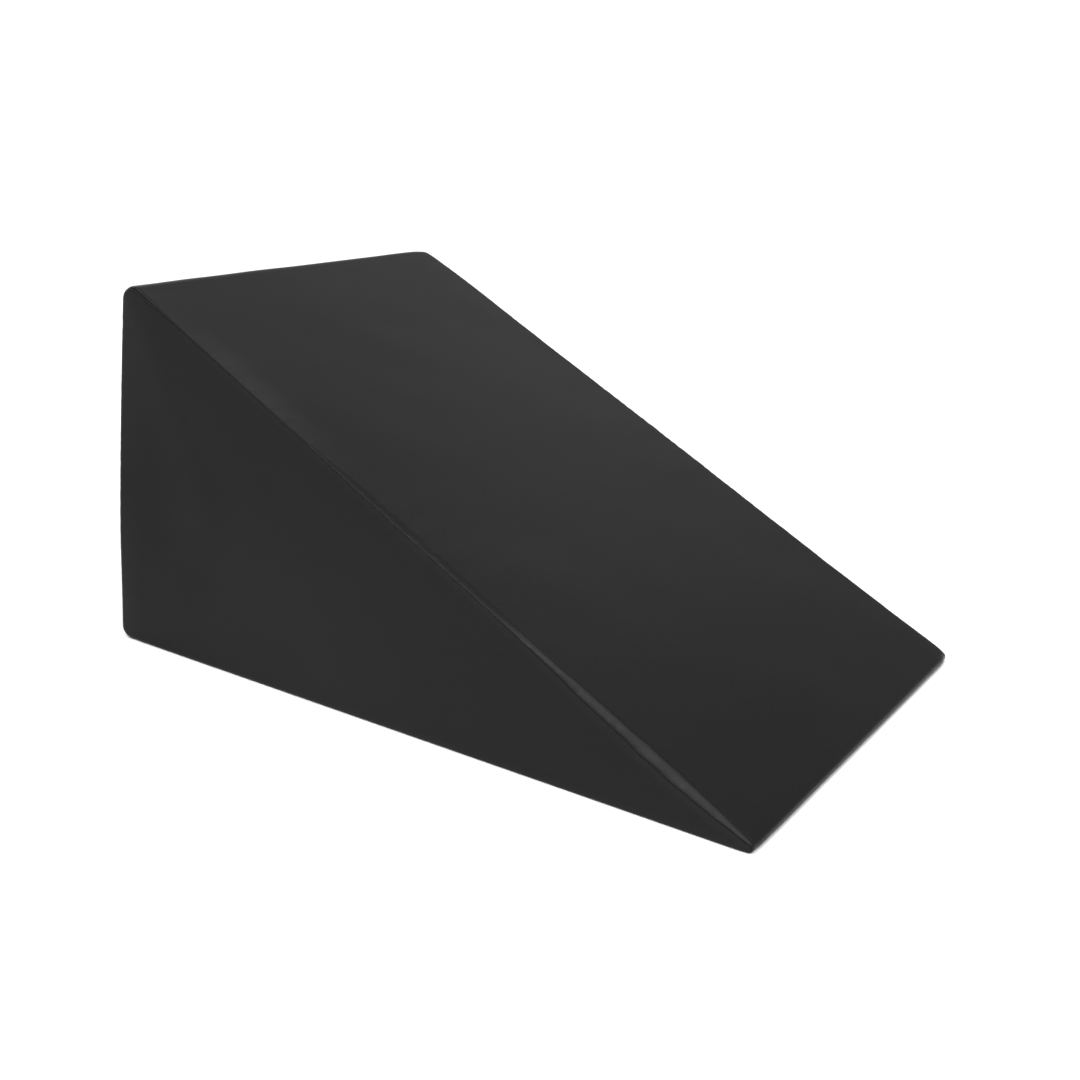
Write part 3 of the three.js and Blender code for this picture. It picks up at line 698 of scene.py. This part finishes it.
# ---------------------------------------------------------------- zip coils: one wound thread each
def coil(name, node, side):
    lo, hi = mm_box(node)
    pitch, wire, per = 1.3, 0.27, 12
    turns = int((hi[0] - lo[0] - 2 * wire) / pitch)
    yc = (lo[1] + hi[1]) / 2
    z_head = ZIP_Z + side * 0.5
    zc = z_head + side * (1.16 + wire)
    phase = 0.0 if side > 0 else math.pi
    a = np.linspace(0, 2 * math.pi * turns, turns * per + 1)
    x = lo[0] + wire + pitch * (a + phase * 0) / (2 * math.pi) + (pitch / 2 if side < 0 else 0) * 0.5
    z = zc - side * 1.16 * np.cos(a) * (1 + 0.06 * np.cos(a))
    y = yc + 0.5 * np.sin(a)
    path = np.stack([x, y, z], 1)
    d = np.gradient(path, axis=0)
    d /= np.linalg.norm(d, axis=1)[:, None]
    e1 = np.array([[1.0, 0, 0]]) - d * d[:, :1]
    e1 /= np.linalg.norm(e1, axis=1)[:, None]
    e2 = np.cross(d, e1)
    sides = 6
    flat = 1 + 0.35 * np.clip(np.cos(a), 0, 1) ** 4  # the tooth's head is pressed wider
    pts = []
    for q in range(sides):
        b = 2 * math.pi * q / sides
        pts.append(path + wire * (math.cos(b) * e1 * flat[:, None] + math.sin(b) * e2))
    pts = np.stack(pts, 1).reshape(-1, 3)
    n = len(path)
    faces = []
    for q in range(sides):
        i = np.arange(n - 1)
        q2 = (q + 1) % sides
        faces.append(np.stack([i * sides + q, (i + 1) * sides + q, (i + 1) * sides + q2, i * sides + q2], -1))
    faces = np.concatenate(faces).tolist()
    faces.append(list(range(sides)))
    faces.append([(n - 1) * sides + q for q in range(sides)][::-1])
    o = make(name, pts, faces)
    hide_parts(node)
    return o


coils = [coil("coil_upper", "zip_coil_upper", 1), coil("coil_lower", "zip_coil_lower", -1)]


# ---------------------------------------------------------------- foam block, a little inside the cover
def foam_block():
    d0 = 2.0
    ts = samples(0, TOTAL, False, False, flat=5.0, bend=1.5)[:-1]
    P, N2 = profile(ts)
    toe_like = np.exp(-((np.minimum(np.abs(ts - (T_TOE_ARC + 10)), np.abs(ts)) / 40.0) ** 2))
    rf = 9.0 - 7.2 * toe_like
    angs = np.linspace(0, math.pi / 2, 7)
    xs_mid = np.linspace(-1, 1, 61)
    cols = []
    for a in angs[::-1]:
        cols.append((-1, a, None))
    for f in xs_mid[1:-1]:
        cols.append((0, 0, f))
    for a in angs:
        cols.append((1, a, None))
    pts = np.zeros((len(ts), len(cols), 3))
    for j, (s, a, f) in enumerate(cols):
        if s:
            x = s * (HALF - d0 - rf + rf * np.sin(a))
            depth = d0 + rf - rf * np.cos(a)
        else:
            x = f * (HALF - d0 - rf)
            depth = np.full(len(ts), d0)
        depth = np.minimum(depth, depth_room(ts) - 0.3)
        z = P[:, 1]
        on_b = (ts > T_BACK) & (ts < T_TOP_ARC)
        off = np.abs(z - ZIP_Z)
        groove = np.where(on_b, 2.2 * (1 / (1 + np.exp((off - 21) / 0.5))) + 3.0 * (1 / (1 + np.exp((off - 6.5) / 0.35))), 0)
        pts[:, j, 0] = x
        pts[:, j, 1:] = P - N2 * (depth + groove)[:, None]
    cut = waves(10, 18, 60, 3, 77)
    pts += 0.12 * cut(pts)[..., None] * np.array([0, 0.5, 0.5])
    rows, ncol = pts.shape[:2]
    faces = grid_faces(rows, ncol, close_rows=True).tolist()
    allp = [pts.reshape(-1, 3)]
    n0 = rows * ncol
    for j, s in ((0, -1), (ncol - 1, 1)):
        loop = pts[:, j, 1:]
        inner = []
        for y in np.arange(-280, 296, 14.0):
            for z in np.arange(8, 296, 14.0):
                q = np.array([y, z])
                k = np.argmin(((loop - q) ** 2).sum(1))
                if ((loop[k] - q) * N2[k]).sum() > 6:
                    inner.append((y, z))
        verts2 = [Vector(q) for q in loop] + [Vector(q) for q in inner]
        n = len(loop)
        out_v, _, out_f, orig_v, _, _ = geometry.delaunay_2d_cdt(verts2, [(i, (i + 1) % n) for i in range(n)], [], 1, 1e-5)
        index, new = {}, []
        for k, src in enumerate(orig_v):
            src = sorted(src)
            if src and src[0] < n:
                index[k] = src[0] * ncol + j
            elif src:
                q = inner[src[0] - n]
                index[k] = n0 + len(new)
                new.append((pts[0, j, 0], q[0], q[1]))
        for f in out_f:
            ids = [index[k] for k in f if k in index]
            if len(set(ids)) == 3:
                y = [out_v[k] for k in f]
                area = (y[1][0] - y[0][0]) * (y[2][1] - y[0][1]) - (y[2][0] - y[0][0]) * (y[1][1] - y[0][1])
                faces.append(ids if (area > 0) == (s > 0) else ids[::-1])
        allp.append(np.array(new))
        n0 += len(new)
    o = make("foam_block", warp(np.concatenate(allp)), faces)
    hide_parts("foam_core")
    return o


foam = foam_block()


# ---------------------------------------------------------------- materials
def new_material(name):
    m = bpy.data.materials.new(name)
    m.use_nodes = True
    nt = m.node_tree
    bsdf = nt.nodes["Principled BSDF"]
    return m, nt, bsdf


def node(nt, kind, **kw):
    n = nt.nodes.new(kind)
    for k, v in kw.items():
        if k in n.inputs:
            n.inputs[k].default_value = v
        else:
            setattr(n, k, v)
    return n


def link(nt, a, b):
    nt.links.new(a, b)


def coords(nt, scale=(1, 1, 1)):
    tc = node(nt, "ShaderNodeTexCoord")
    mp = node(nt, "ShaderNodeMapping")
    mp.inputs["Scale"].default_value = scale
    link(nt, tc.outputs["Object"], mp.inputs["Vector"])
    return mp.outputs["Vector"]


def ramp(nt, source, stops):
    r = node(nt, "ShaderNodeValToRGB")
    e = r.color_ramp.elements
    while len(e) < len(stops):
        e.new(0.5)
    for el, (pos, val) in zip(e, stops):
        el.position = pos
        el.color = (val, val, val, 1) if isinstance(val, (int, float)) else (*val, 1)
    link(nt, source, r.inputs["Fac"])
    return r.outputs["Color"]


def maths(nt, op, a, b=None, clamp=False):
    n = node(nt, "ShaderNodeMath", operation=op)
    n.use_clamp = clamp
    for i, v in enumerate((a, b)):
        if v is None:
            continue
        if isinstance(v, (int, float)):
            n.inputs[i].default_value = v
        else:
            link(nt, v, n.inputs[i])
    return n.outputs[0]


def vinyl_material():
    m, nt, bsdf = new_material("satin_black_vinyl")
    vec = coords(nt)
    warp_n = node(nt, "ShaderNodeTexNoise", Scale=260.0, Detail=2.0)
    link(nt, vec, warp_n.inputs["Vector"])
    vm = node(nt, "ShaderNodeVectorMath", operation="MULTIPLY_ADD")
    link(nt, warp_n.outputs["Color"], vm.inputs[0])
    vm.inputs[1].default_value = (0.0011, 0.0011, 0.0011)
    link(nt, vec, vm.inputs[2])
    cell = node(nt, "ShaderNodeTexVoronoi", Scale=620.0)
    cell.feature = "DISTANCE_TO_EDGE"
    link(nt, vm.outputs[0], cell.inputs["Vector"])
    fine = node(nt, "ShaderNodeTexVoronoi", Scale=1500.0)
    fine.feature = "DISTANCE_TO_EDGE"
    link(nt, vm.outputs[0], fine.inputs["Vector"])
    pebble = ramp(nt, cell.outputs["Distance"], [(0.0, 0.0), (0.16, 0.72), (0.42, 1.0)])
    pebble2 = ramp(nt, fine.outputs["Distance"], [(0.0, 0.0), (0.3, 1.0)])
    micro = node(nt, "ShaderNodeTexNoise", Scale=2600.0, Detail=3.0, Roughness=0.6)
    link(nt, vec, micro.inputs["Vector"])
    h = maths(nt, "ADD", maths(nt, "MULTIPLY", pebble, 0.7), maths(nt, "MULTIPLY", pebble2, 0.22))
    h = maths(nt, "ADD", h, maths(nt, "MULTIPLY", micro.outputs["Fac"], 0.10))
    bump = node(nt, "ShaderNodeBump", Strength=0.35, Distance=0.00012)
    link(nt, h, bump.inputs["Height"])
    # handling wears the rims a little smoother, and fine creases gather beside the seams
    wear = node(nt, "ShaderNodeAttribute", attribute_name="wear")
    patch = node(nt, "ShaderNodeTexNoise", Scale=34.0, Detail=4.0, Roughness=0.6)
    link(nt, vec, patch.inputs["Vector"])
    haze = node(nt, "ShaderNodeTexNoise", Scale=5.5, Detail=3.0, Roughness=0.5)
    link(nt, vec, haze.inputs["Vector"])
    worn = maths(nt, "MULTIPLY", wear.outputs["Fac"], maths(nt, "MULTIPLY", patch.outputs["Fac"], 0.9))
    col = node(nt, "ShaderNodeMix", data_type="RGBA")
    col.inputs[6].default_value = (0.0088, 0.0088, 0.0089, 1)
    col.inputs[7].default_value = (0.0120, 0.0119, 0.0119, 1)
    mixf = maths(nt, "ADD", maths(nt, "MULTIPLY", haze.outputs["Fac"], 0.55), maths(nt, "MULTIPLY", pebble, 0.35), True)
    link(nt, mixf, col.inputs[0])
    col2 = node(nt, "ShaderNodeMix", data_type="RGBA")
    link(nt, col.outputs[2], col2.inputs[6])
    col2.inputs[7].default_value = (0.019, 0.0188, 0.0186, 1)
    link(nt, maths(nt, "MULTIPLY", worn, 0.5, True), col2.inputs[0])
    # painted highlight: the base colour is made lighter over the slope's patch beside the upper -X seam
    rub_and_highlight = node(nt, "ShaderNodeAttribute", attribute_name="rub_and_highlight")
    col3 = node(nt, "ShaderNodeMix", data_type="RGBA")
    link(nt, col2.outputs[2], col3.inputs[6])
    col3.inputs[7].default_value = (0.025, 0.0248, 0.0246, 1)
    painted_highlight = maths(nt, "MULTIPLY", rub_and_highlight.outputs["Fac"], maths(nt, "ADD", maths(nt, "MULTIPLY", patch.outputs["Fac"], 0.6), 0.5))
    link(nt, maths(nt, "MULTIPLY", painted_highlight, 0.6, True), col3.inputs[0])
    # painted shade: the base colour goes near black where the -X side's mask is high, towards its back and bottom
    painted_shade = node(nt, "ShaderNodeAttribute", attribute_name="painted_shade")
    col4 = node(nt, "ShaderNodeMix", data_type="RGBA")
    link(nt, col3.outputs[2], col4.inputs[6])
    col4.inputs[7].default_value = (0.003, 0.003, 0.0031, 1)
    link(nt, maths(nt, "MULTIPLY", painted_shade.outputs["Fac"], 0.95, True), col4.inputs[0])
    link(nt, col4.outputs[2], bsdf.inputs["Base Color"])
    rough = maths(nt, "ADD", maths(nt, "MULTIPLY", haze.outputs["Fac"], 0.07), 0.27)
    rough = maths(nt, "SUBTRACT", rough, maths(nt, "MULTIPLY", worn, 0.05))
    rough = maths(nt, "ADD", rough, maths(nt, "MULTIPLY", micro.outputs["Fac"], 0.04))
    link(nt, rough, bsdf.inputs["Roughness"])
    link(nt, bump.outputs["Normal"], bsdf.inputs["Normal"])
    bsdf.inputs["Specular IOR Level"].default_value = 0.09
    return m


def thread_material():
    m, nt, bsdf = new_material("bonded_black_thread")
    vec = coords(nt)
    w = node(nt, "ShaderNodeTexWave", Scale=900.0, Distortion=1.5, Detail=1.0)
    w.bands_direction = "DIAGONAL"
    link(nt, vec, w.inputs["Vector"])
    n = node(nt, "ShaderNodeTexNoise", Scale=900.0, Detail=2.0)
    link(nt, vec, n.inputs["Vector"])
    col = ramp(nt, w.outputs["Fac"], [(0.0, (0.010, 0.010, 0.011)), (1.0, (0.030, 0.030, 0.031))])
    link(nt, col, bsdf.inputs["Base Color"])
    link(nt, maths(nt, "ADD", maths(nt, "MULTIPLY", n.outputs["Fac"], 0.2), 0.42), bsdf.inputs["Roughness"])
    b = node(nt, "ShaderNodeBump", Strength=0.5, Distance=0.00008)
    link(nt, w.outputs["Fac"], b.inputs["Height"])
    link(nt, b.outputs["Normal"], bsdf.inputs["Normal"])
    bsdf.inputs["Specular IOR Level"].default_value = 0.4
    return m


def tape_material():
    m, nt, bsdf = new_material("woven_zip_tape")
    vec = coords(nt)
    across = node(nt, "ShaderNodeTexWave", Scale=320.0, Distortion=0.3, Detail=1.0)
    across.bands_direction = "X"
    link(nt, vec, across.inputs["Vector"])
    along = node(nt, "ShaderNodeTexWave", Scale=420.0, Distortion=0.3, Detail=1.0)
    along.bands_direction = "Z"
    link(nt, vec, along.inputs["Vector"])
    fuzz = node(nt, "ShaderNodeTexNoise", Scale=1500.0, Detail=3.0)
    link(nt, vec, fuzz.inputs["Vector"])
    weave = maths(nt, "MULTIPLY", across.outputs["Fac"], along.outputs["Fac"])
    col = ramp(nt, weave, [(0.0, (0.006, 0.006, 0.007)), (1.0, (0.021, 0.021, 0.022))])
    link(nt, col, bsdf.inputs["Base Color"])
    link(nt, maths(nt, "ADD", maths(nt, "MULTIPLY", fuzz.outputs["Fac"], 0.12), 0.78), bsdf.inputs["Roughness"])
    h = maths(nt, "ADD", weave, maths(nt, "MULTIPLY", fuzz.outputs["Fac"], 0.3))
    b = node(nt, "ShaderNodeBump", Strength=0.7, Distance=0.00018)
    link(nt, h, b.inputs["Height"])
    link(nt, b.outputs["Normal"], bsdf.inputs["Normal"])
    bsdf.inputs["Sheen Weight"].default_value = 0.15
    bsdf.inputs["Specular IOR Level"].default_value = 0.25
    return m


def coil_material():
    m, nt, bsdf = new_material("nylon_coil")
    vec = coords(nt)
    n = node(nt, "ShaderNodeTexNoise", Scale=700.0, Detail=2.0)
    link(nt, vec, n.inputs["Vector"])
    col = ramp(nt, n.outputs["Fac"], [(0.3, (0.011, 0.011, 0.012)), (0.7, (0.021, 0.021, 0.022))])
    link(nt, col, bsdf.inputs["Base Color"])
    link(nt, maths(nt, "ADD", maths(nt, "MULTIPLY", n.outputs["Fac"], 0.14), 0.26), bsdf.inputs["Roughness"])
    b = node(nt, "ShaderNodeBump", Strength=0.25, Distance=0.00005)
    link(nt, n.outputs["Fac"], b.inputs["Height"])
    link(nt, b.outputs["Normal"], bsdf.inputs["Normal"])
    bsdf.inputs["Specular IOR Level"].default_value = 0.5
    return m


def metal_material():
    m, nt, bsdf = new_material("black_enamelled_zinc")
    vec = coords(nt)
    n = node(nt, "ShaderNodeTexNoise", Scale=1400.0, Detail=3.0, Roughness=0.6)
    link(nt, vec, n.inputs["Vector"])
    rub_and_highlight = node(nt, "ShaderNodeTexNoise", Scale=260.0, Detail=4.0, Roughness=0.7)
    link(nt, vec, rub_and_highlight.inputs["Vector"])
    geo = node(nt, "ShaderNodeNewGeometry")
    edge = ramp(nt, geo.outputs["Pointiness"], [(0.52, 0.0), (0.60, 1.0)])
    worn = maths(nt, "MULTIPLY", edge, ramp(nt, rub_and_highlight.outputs["Fac"], [(0.45, 0.0), (0.62, 1.0)]))
    col = node(nt, "ShaderNodeMix", data_type="RGBA")
    col.inputs[6].default_value = (0.022, 0.022, 0.023, 1)
    col.inputs[7].default_value = (0.26, 0.26, 0.25, 1)
    link(nt, maths(nt, "MULTIPLY", worn, 0.5), col.inputs[0])
    link(nt, col.outputs[2], bsdf.inputs["Base Color"])
    link(nt, maths(nt, "ADD", maths(nt, "MULTIPLY", n.outputs["Fac"], 0.12), 0.24), bsdf.inputs["Roughness"])
    b = node(nt, "ShaderNodeBump", Strength=0.2, Distance=0.00005)
    link(nt, n.outputs["Fac"], b.inputs["Height"])
    link(nt, b.outputs["Normal"], bsdf.inputs["Normal"])
    bsdf.inputs["Metallic"].default_value = 0.85
    return m


def foam_material():
    m, nt, bsdf = new_material("open_cell_foam")
    vec = coords(nt)
    cell = node(nt, "ShaderNodeTexVoronoi", Scale=950.0)
    link(nt, vec, cell.inputs["Vector"])
    cell2 = node(nt, "ShaderNodeTexVoronoi", Scale=420.0)
    link(nt, vec, cell2.inputs["Vector"])
    big = node(nt, "ShaderNodeTexNoise", Scale=14.0, Detail=4.0)
    link(nt, vec, big.inputs["Vector"])
    h = maths(nt, "ADD", maths(nt, "MULTIPLY", cell.outputs["Distance"], 0.7), maths(nt, "MULTIPLY", cell2.outputs["Distance"], 0.4))
    col = node(nt, "ShaderNodeMix", data_type="RGBA")
    col.inputs[6].default_value = (0.50, 0.45, 0.34, 1)
    col.inputs[7].default_value = (0.70, 0.66, 0.55, 1)
    link(nt, maths(nt, "ADD", maths(nt, "MULTIPLY", big.outputs["Fac"], 0.5), maths(nt, "MULTIPLY", h, 0.5), True), col.inputs[0])
    link(nt, col.outputs[2], bsdf.inputs["Base Color"])
    link(nt, maths(nt, "ADD", maths(nt, "MULTIPLY", h, 0.08), 0.88), bsdf.inputs["Roughness"])
    b = node(nt, "ShaderNodeBump", Strength=0.8, Distance=0.0004)
    link(nt, h, b.inputs["Height"])
    link(nt, b.outputs["Normal"], bsdf.inputs["Normal"])
    return m


def give(o, material):
    if o.data.materials:
        for i in range(len(o.data.materials)):
            o.data.materials[i] = material
    else:
        o.data.materials.append(material)


vinyl = vinyl_material()
for o in (slope_cover, base_cover, back_upper_cover, back_lower_cover, left_side_cover, right_side_cover):
    give(o, vinyl)
thread = thread_material()
for o in threads:
    give(o, thread)
coil_m = coil_material()
for o in coils:
    give(o, coil_m)
give(foam, foam_material())
tape = tape_material()
for n in ("zip_tape_upper", "zip_tape_lower"):
    give(nodes[n], tape)
metal = metal_material()
for n in ("zip_top_stop_upper", "zip_top_stop_lower", "zip_bottom_stop", "zip_slider_body", "zip_pull_tab"):
    o = nodes[n]
    give(o, metal)
    w = o.modifiers.new("weld", "WELD")
    w.merge_threshold = 0.00001
    b = o.modifiers.new("round", "BEVEL")
    b.width = 0.0002
    b.segments = 3
    b.limit_method = "ANGLE"
    b.angle_limit = math.radians(28)
    b.harden_normals = False


# ---------------------------------------------------------------- floor, light and camera
def floor_material():
    m, nt, bsdf = new_material("pale_floor")
    vec = coords(nt)
    n = node(nt, "ShaderNodeTexNoise", Scale=3.0, Detail=2.0)
    link(nt, vec, n.inputs["Vector"])
    col = ramp(nt, n.outputs["Fac"], [(0.0, (0.90, 0.90, 0.90)), (1.0, (0.92, 0.92, 0.92))])
    link(nt, col, bsdf.inputs["Base Color"])
    bsdf.inputs["Roughness"].default_value = 0.9
    bsdf.inputs["Specular IOR Level"].default_value = 0.1
    return m


fm = bpy.data.meshes.new("floor")
ring = [(40 * math.cos(2 * math.pi * k / 96), 40 * math.sin(2 * math.pi * k / 96), -0.0001) for k in range(96)]
fm.from_pydata(ring, [], [tuple(range(96))])
floor = bpy.data.objects.new("floor", fm)
bpy.context.scene.collection.objects.link(floor)
give(floor, floor_material())

world = bpy.data.worlds.new("studio")
bpy.context.scene.world = world
world.use_nodes = True
wn = world.node_tree
bg = wn.nodes["Background"]
wtc = wn.nodes.new("ShaderNodeTexCoord")


def toward(azimuth, elevation):
    a, e = math.radians(azimuth), math.radians(elevation)
    return Vector((math.sin(a) * math.cos(e), -math.cos(a) * math.cos(e), math.sin(e)))


def patch_of_sky(direction, inner, outer):
    """1 within inner degrees of a direction, fading to 0 at outer degrees."""
    dot = wn.nodes.new("ShaderNodeVectorMath")
    dot.operation = "DOT_PRODUCT"
    dot.inputs[1].default_value = direction
    wn.links.new(wtc.outputs["Generated"], dot.inputs[0])
    mr = wn.nodes.new("ShaderNodeMapRange")
    mr.interpolation_type = "SMOOTHSTEP"
    mr.inputs["From Min"].default_value = math.cos(math.radians(outer))
    mr.inputs["From Max"].default_value = math.cos(math.radians(inner))
    wn.links.new(dot.outputs["Value"], mr.inputs["Value"])
    return mr.outputs["Result"]


def wmath(op, a, b):
    n = wn.nodes.new("ShaderNodeMath")
    n.operation = op
    for i, v in enumerate((a, b)):
        if isinstance(v, (int, float)):
            n.inputs[i].default_value = v
        else:
            wn.links.new(v, n.inputs[i])
    return n.outputs[0]


wsep = wn.nodes.new("ShaderNodeSeparateXYZ")
wn.links.new(wtc.outputs["Generated"], wsep.inputs[0])
band = wn.nodes.new("ShaderNodeMapRange")
band.interpolation_type = "SMOOTHSTEP"
band.inputs["From Min"].default_value = math.sin(math.radians(4.5))
band.inputs["From Max"].default_value = math.sin(math.radians(9))
band.inputs["To Min"].default_value = 1.0
band.inputs["To Max"].default_value = 0.0
wn.links.new(wsep.outputs["Z"], band.inputs["Value"])
flat = wmath("SQRT", wmath("ADD", wmath("MULTIPLY", wsep.outputs["X"], wsep.outputs["X"]), wmath("MULTIPLY", wsep.outputs["Y"], wsep.outputs["Y"])), 0.0)
azimuth = wn.nodes.new("ShaderNodeMath")
azimuth.operation = "ARCTAN2"
wn.links.new(wsep.outputs["X"], azimuth.inputs[0])
wn.links.new(wmath("MULTIPLY", wsep.outputs["Y"], -1.0), azimuth.inputs[1])
height = wn.nodes.new("ShaderNodeMath")
height.operation = "ARCTAN2"
wn.links.new(wsep.outputs["Z"], height.inputs[0])
wn.links.new(flat, height.inputs[1])


def soft_step(source, a, b):
    """0 where source is below a degrees, 1 above b degrees."""
    mr = wn.nodes.new("ShaderNodeMapRange")
    mr.interpolation_type = "SMOOTHSTEP"
    mr.inputs["From Min"].default_value = math.radians(a)
    mr.inputs["From Max"].default_value = math.radians(b)
    wn.links.new(source, mr.inputs["Value"])
    return mr.outputs["Result"]


def window(source, a0, a1, b0, b1):
    return wmath("MULTIPLY", soft_step(source, a0, a1), wmath("SUBTRACT", 1.0, soft_step(source, b0, b1)))


# a bright horizon behind the object, a tall diffuser on its +X side, and the room's even ceiling
SKY, HORIZON, DIFFUSER, UPPER, CORE = 0.30, 0.78, 0.40, 0.31, 0.30
behind = window(azimuth.outputs[0], 90, 99, 148, 160)
horizon = wmath("MULTIPLY", wmath("SUBTRACT", 1.0, soft_step(height.outputs[0], 4.5, 8)), wmath("ADD", 0.35, wmath("MULTIPLY", behind, 0.65)))
diffuser = wmath("MULTIPLY", window(azimuth.outputs[0], 83, 88, 128, 150), window(height.outputs[0], 20, 29, 45, 56))
upper = wmath("MULTIPLY", window(azimuth.outputs[0], 101, 106, 128, 150), window(height.outputs[0], 45, 56, 62, 74))
core = wmath("MULTIPLY", window(azimuth.outputs[0], 82, 85, 99, 108), window(height.outputs[0], 27, 30, 37, 45))
sky = wmath("ADD", SKY, wmath("ADD", wmath("MULTIPLY", horizon, HORIZON), wmath("ADD", wmath("ADD", wmath("MULTIPLY", diffuser, DIFFUSER), wmath("MULTIPLY", upper, UPPER)), wmath("MULTIPLY", core, CORE))))
wn.links.new(sky, bg.inputs["Color"])
bg.inputs["Strength"].default_value = 1.0


def soft_sun(name, azimuth_deg, elevation_deg, angle_deg, energy):
    d = bpy.data.lights.new(name, "SUN")
    d.energy = energy
    d.angle = math.radians(angle_deg)
    o = bpy.data.objects.new(name, d)
    o.rotation_euler = (-toward(azimuth_deg, elevation_deg)).to_track_quat("-Z", "Y").to_euler()
    bpy.context.scene.collection.objects.link(o)


def softbox(name, loc, target, size, power):
    d = bpy.data.lights.new(name, "AREA")
    d.shape = "RECTANGLE"
    d.size = d.size_y = size
    d.energy = power
    o = bpy.data.objects.new(name, d)
    o.location = loc
    o.rotation_euler = (Vector(target) - Vector(loc)).to_track_quat("-Z", "Y").to_euler()
    bpy.context.scene.collection.objects.link(o)


soft_sun("main", -50, 64, 60, 2.5)
soft_sun("rim", -99, 59, 24, 1.0)
softbox("front_fill", (-0.85, -1.1, 0.8), (-0.15, -0.3, 0.03), 0.7, 6)
softbox("back_fill", (0.45, 1.7, 0.95), (0.0, 0.3, 0.12), 1.1, 9)

cam_d = bpy.data.cameras.new("camera")
cam = bpy.data.objects.new("camera", cam_d)
bpy.context.scene.collection.objects.link(cam)
bpy.context.scene.camera = cam
# azimuth, elevation, distance, offsets, roll and focal length in pixels of a 1080-pixel frame
CAM = {"az": -57.482, "el": 18.265, "dist": 1.15496, "tx": -0.00386, "ty": -0.05275, "roll": 2.317, "f": 1375.4}
az, el, roll = (math.radians(CAM[k]) for k in ("az", "el", "roll"))
back = Vector((math.sin(az) * math.cos(el), -math.cos(az) * math.cos(el), math.sin(el)))
right = (-back).cross(Vector((0, 0, 1))).normalized()
upv = right.cross(-back)
R2 = right * math.cos(roll) + upv * math.sin(roll)
U2 = -right * math.sin(roll) + upv * math.cos(roll)
pos = Vector((0, 0, 0.5 * 0.311)) + back * CAM["dist"] + R2 * CAM["tx"] + U2 * CAM["ty"]
rot = Matrix((R2, U2, back)).transposed()
cam.matrix_world = Matrix.Translation(pos) @ rot.to_4x4()
cam_d.sensor_width = 36
cam_d.lens = 36 * CAM["f"] / 1080
cam_d.clip_start, cam_d.clip_end = 0.01, 100

bpy.context.scene.view_settings.view_transform = "Standard"
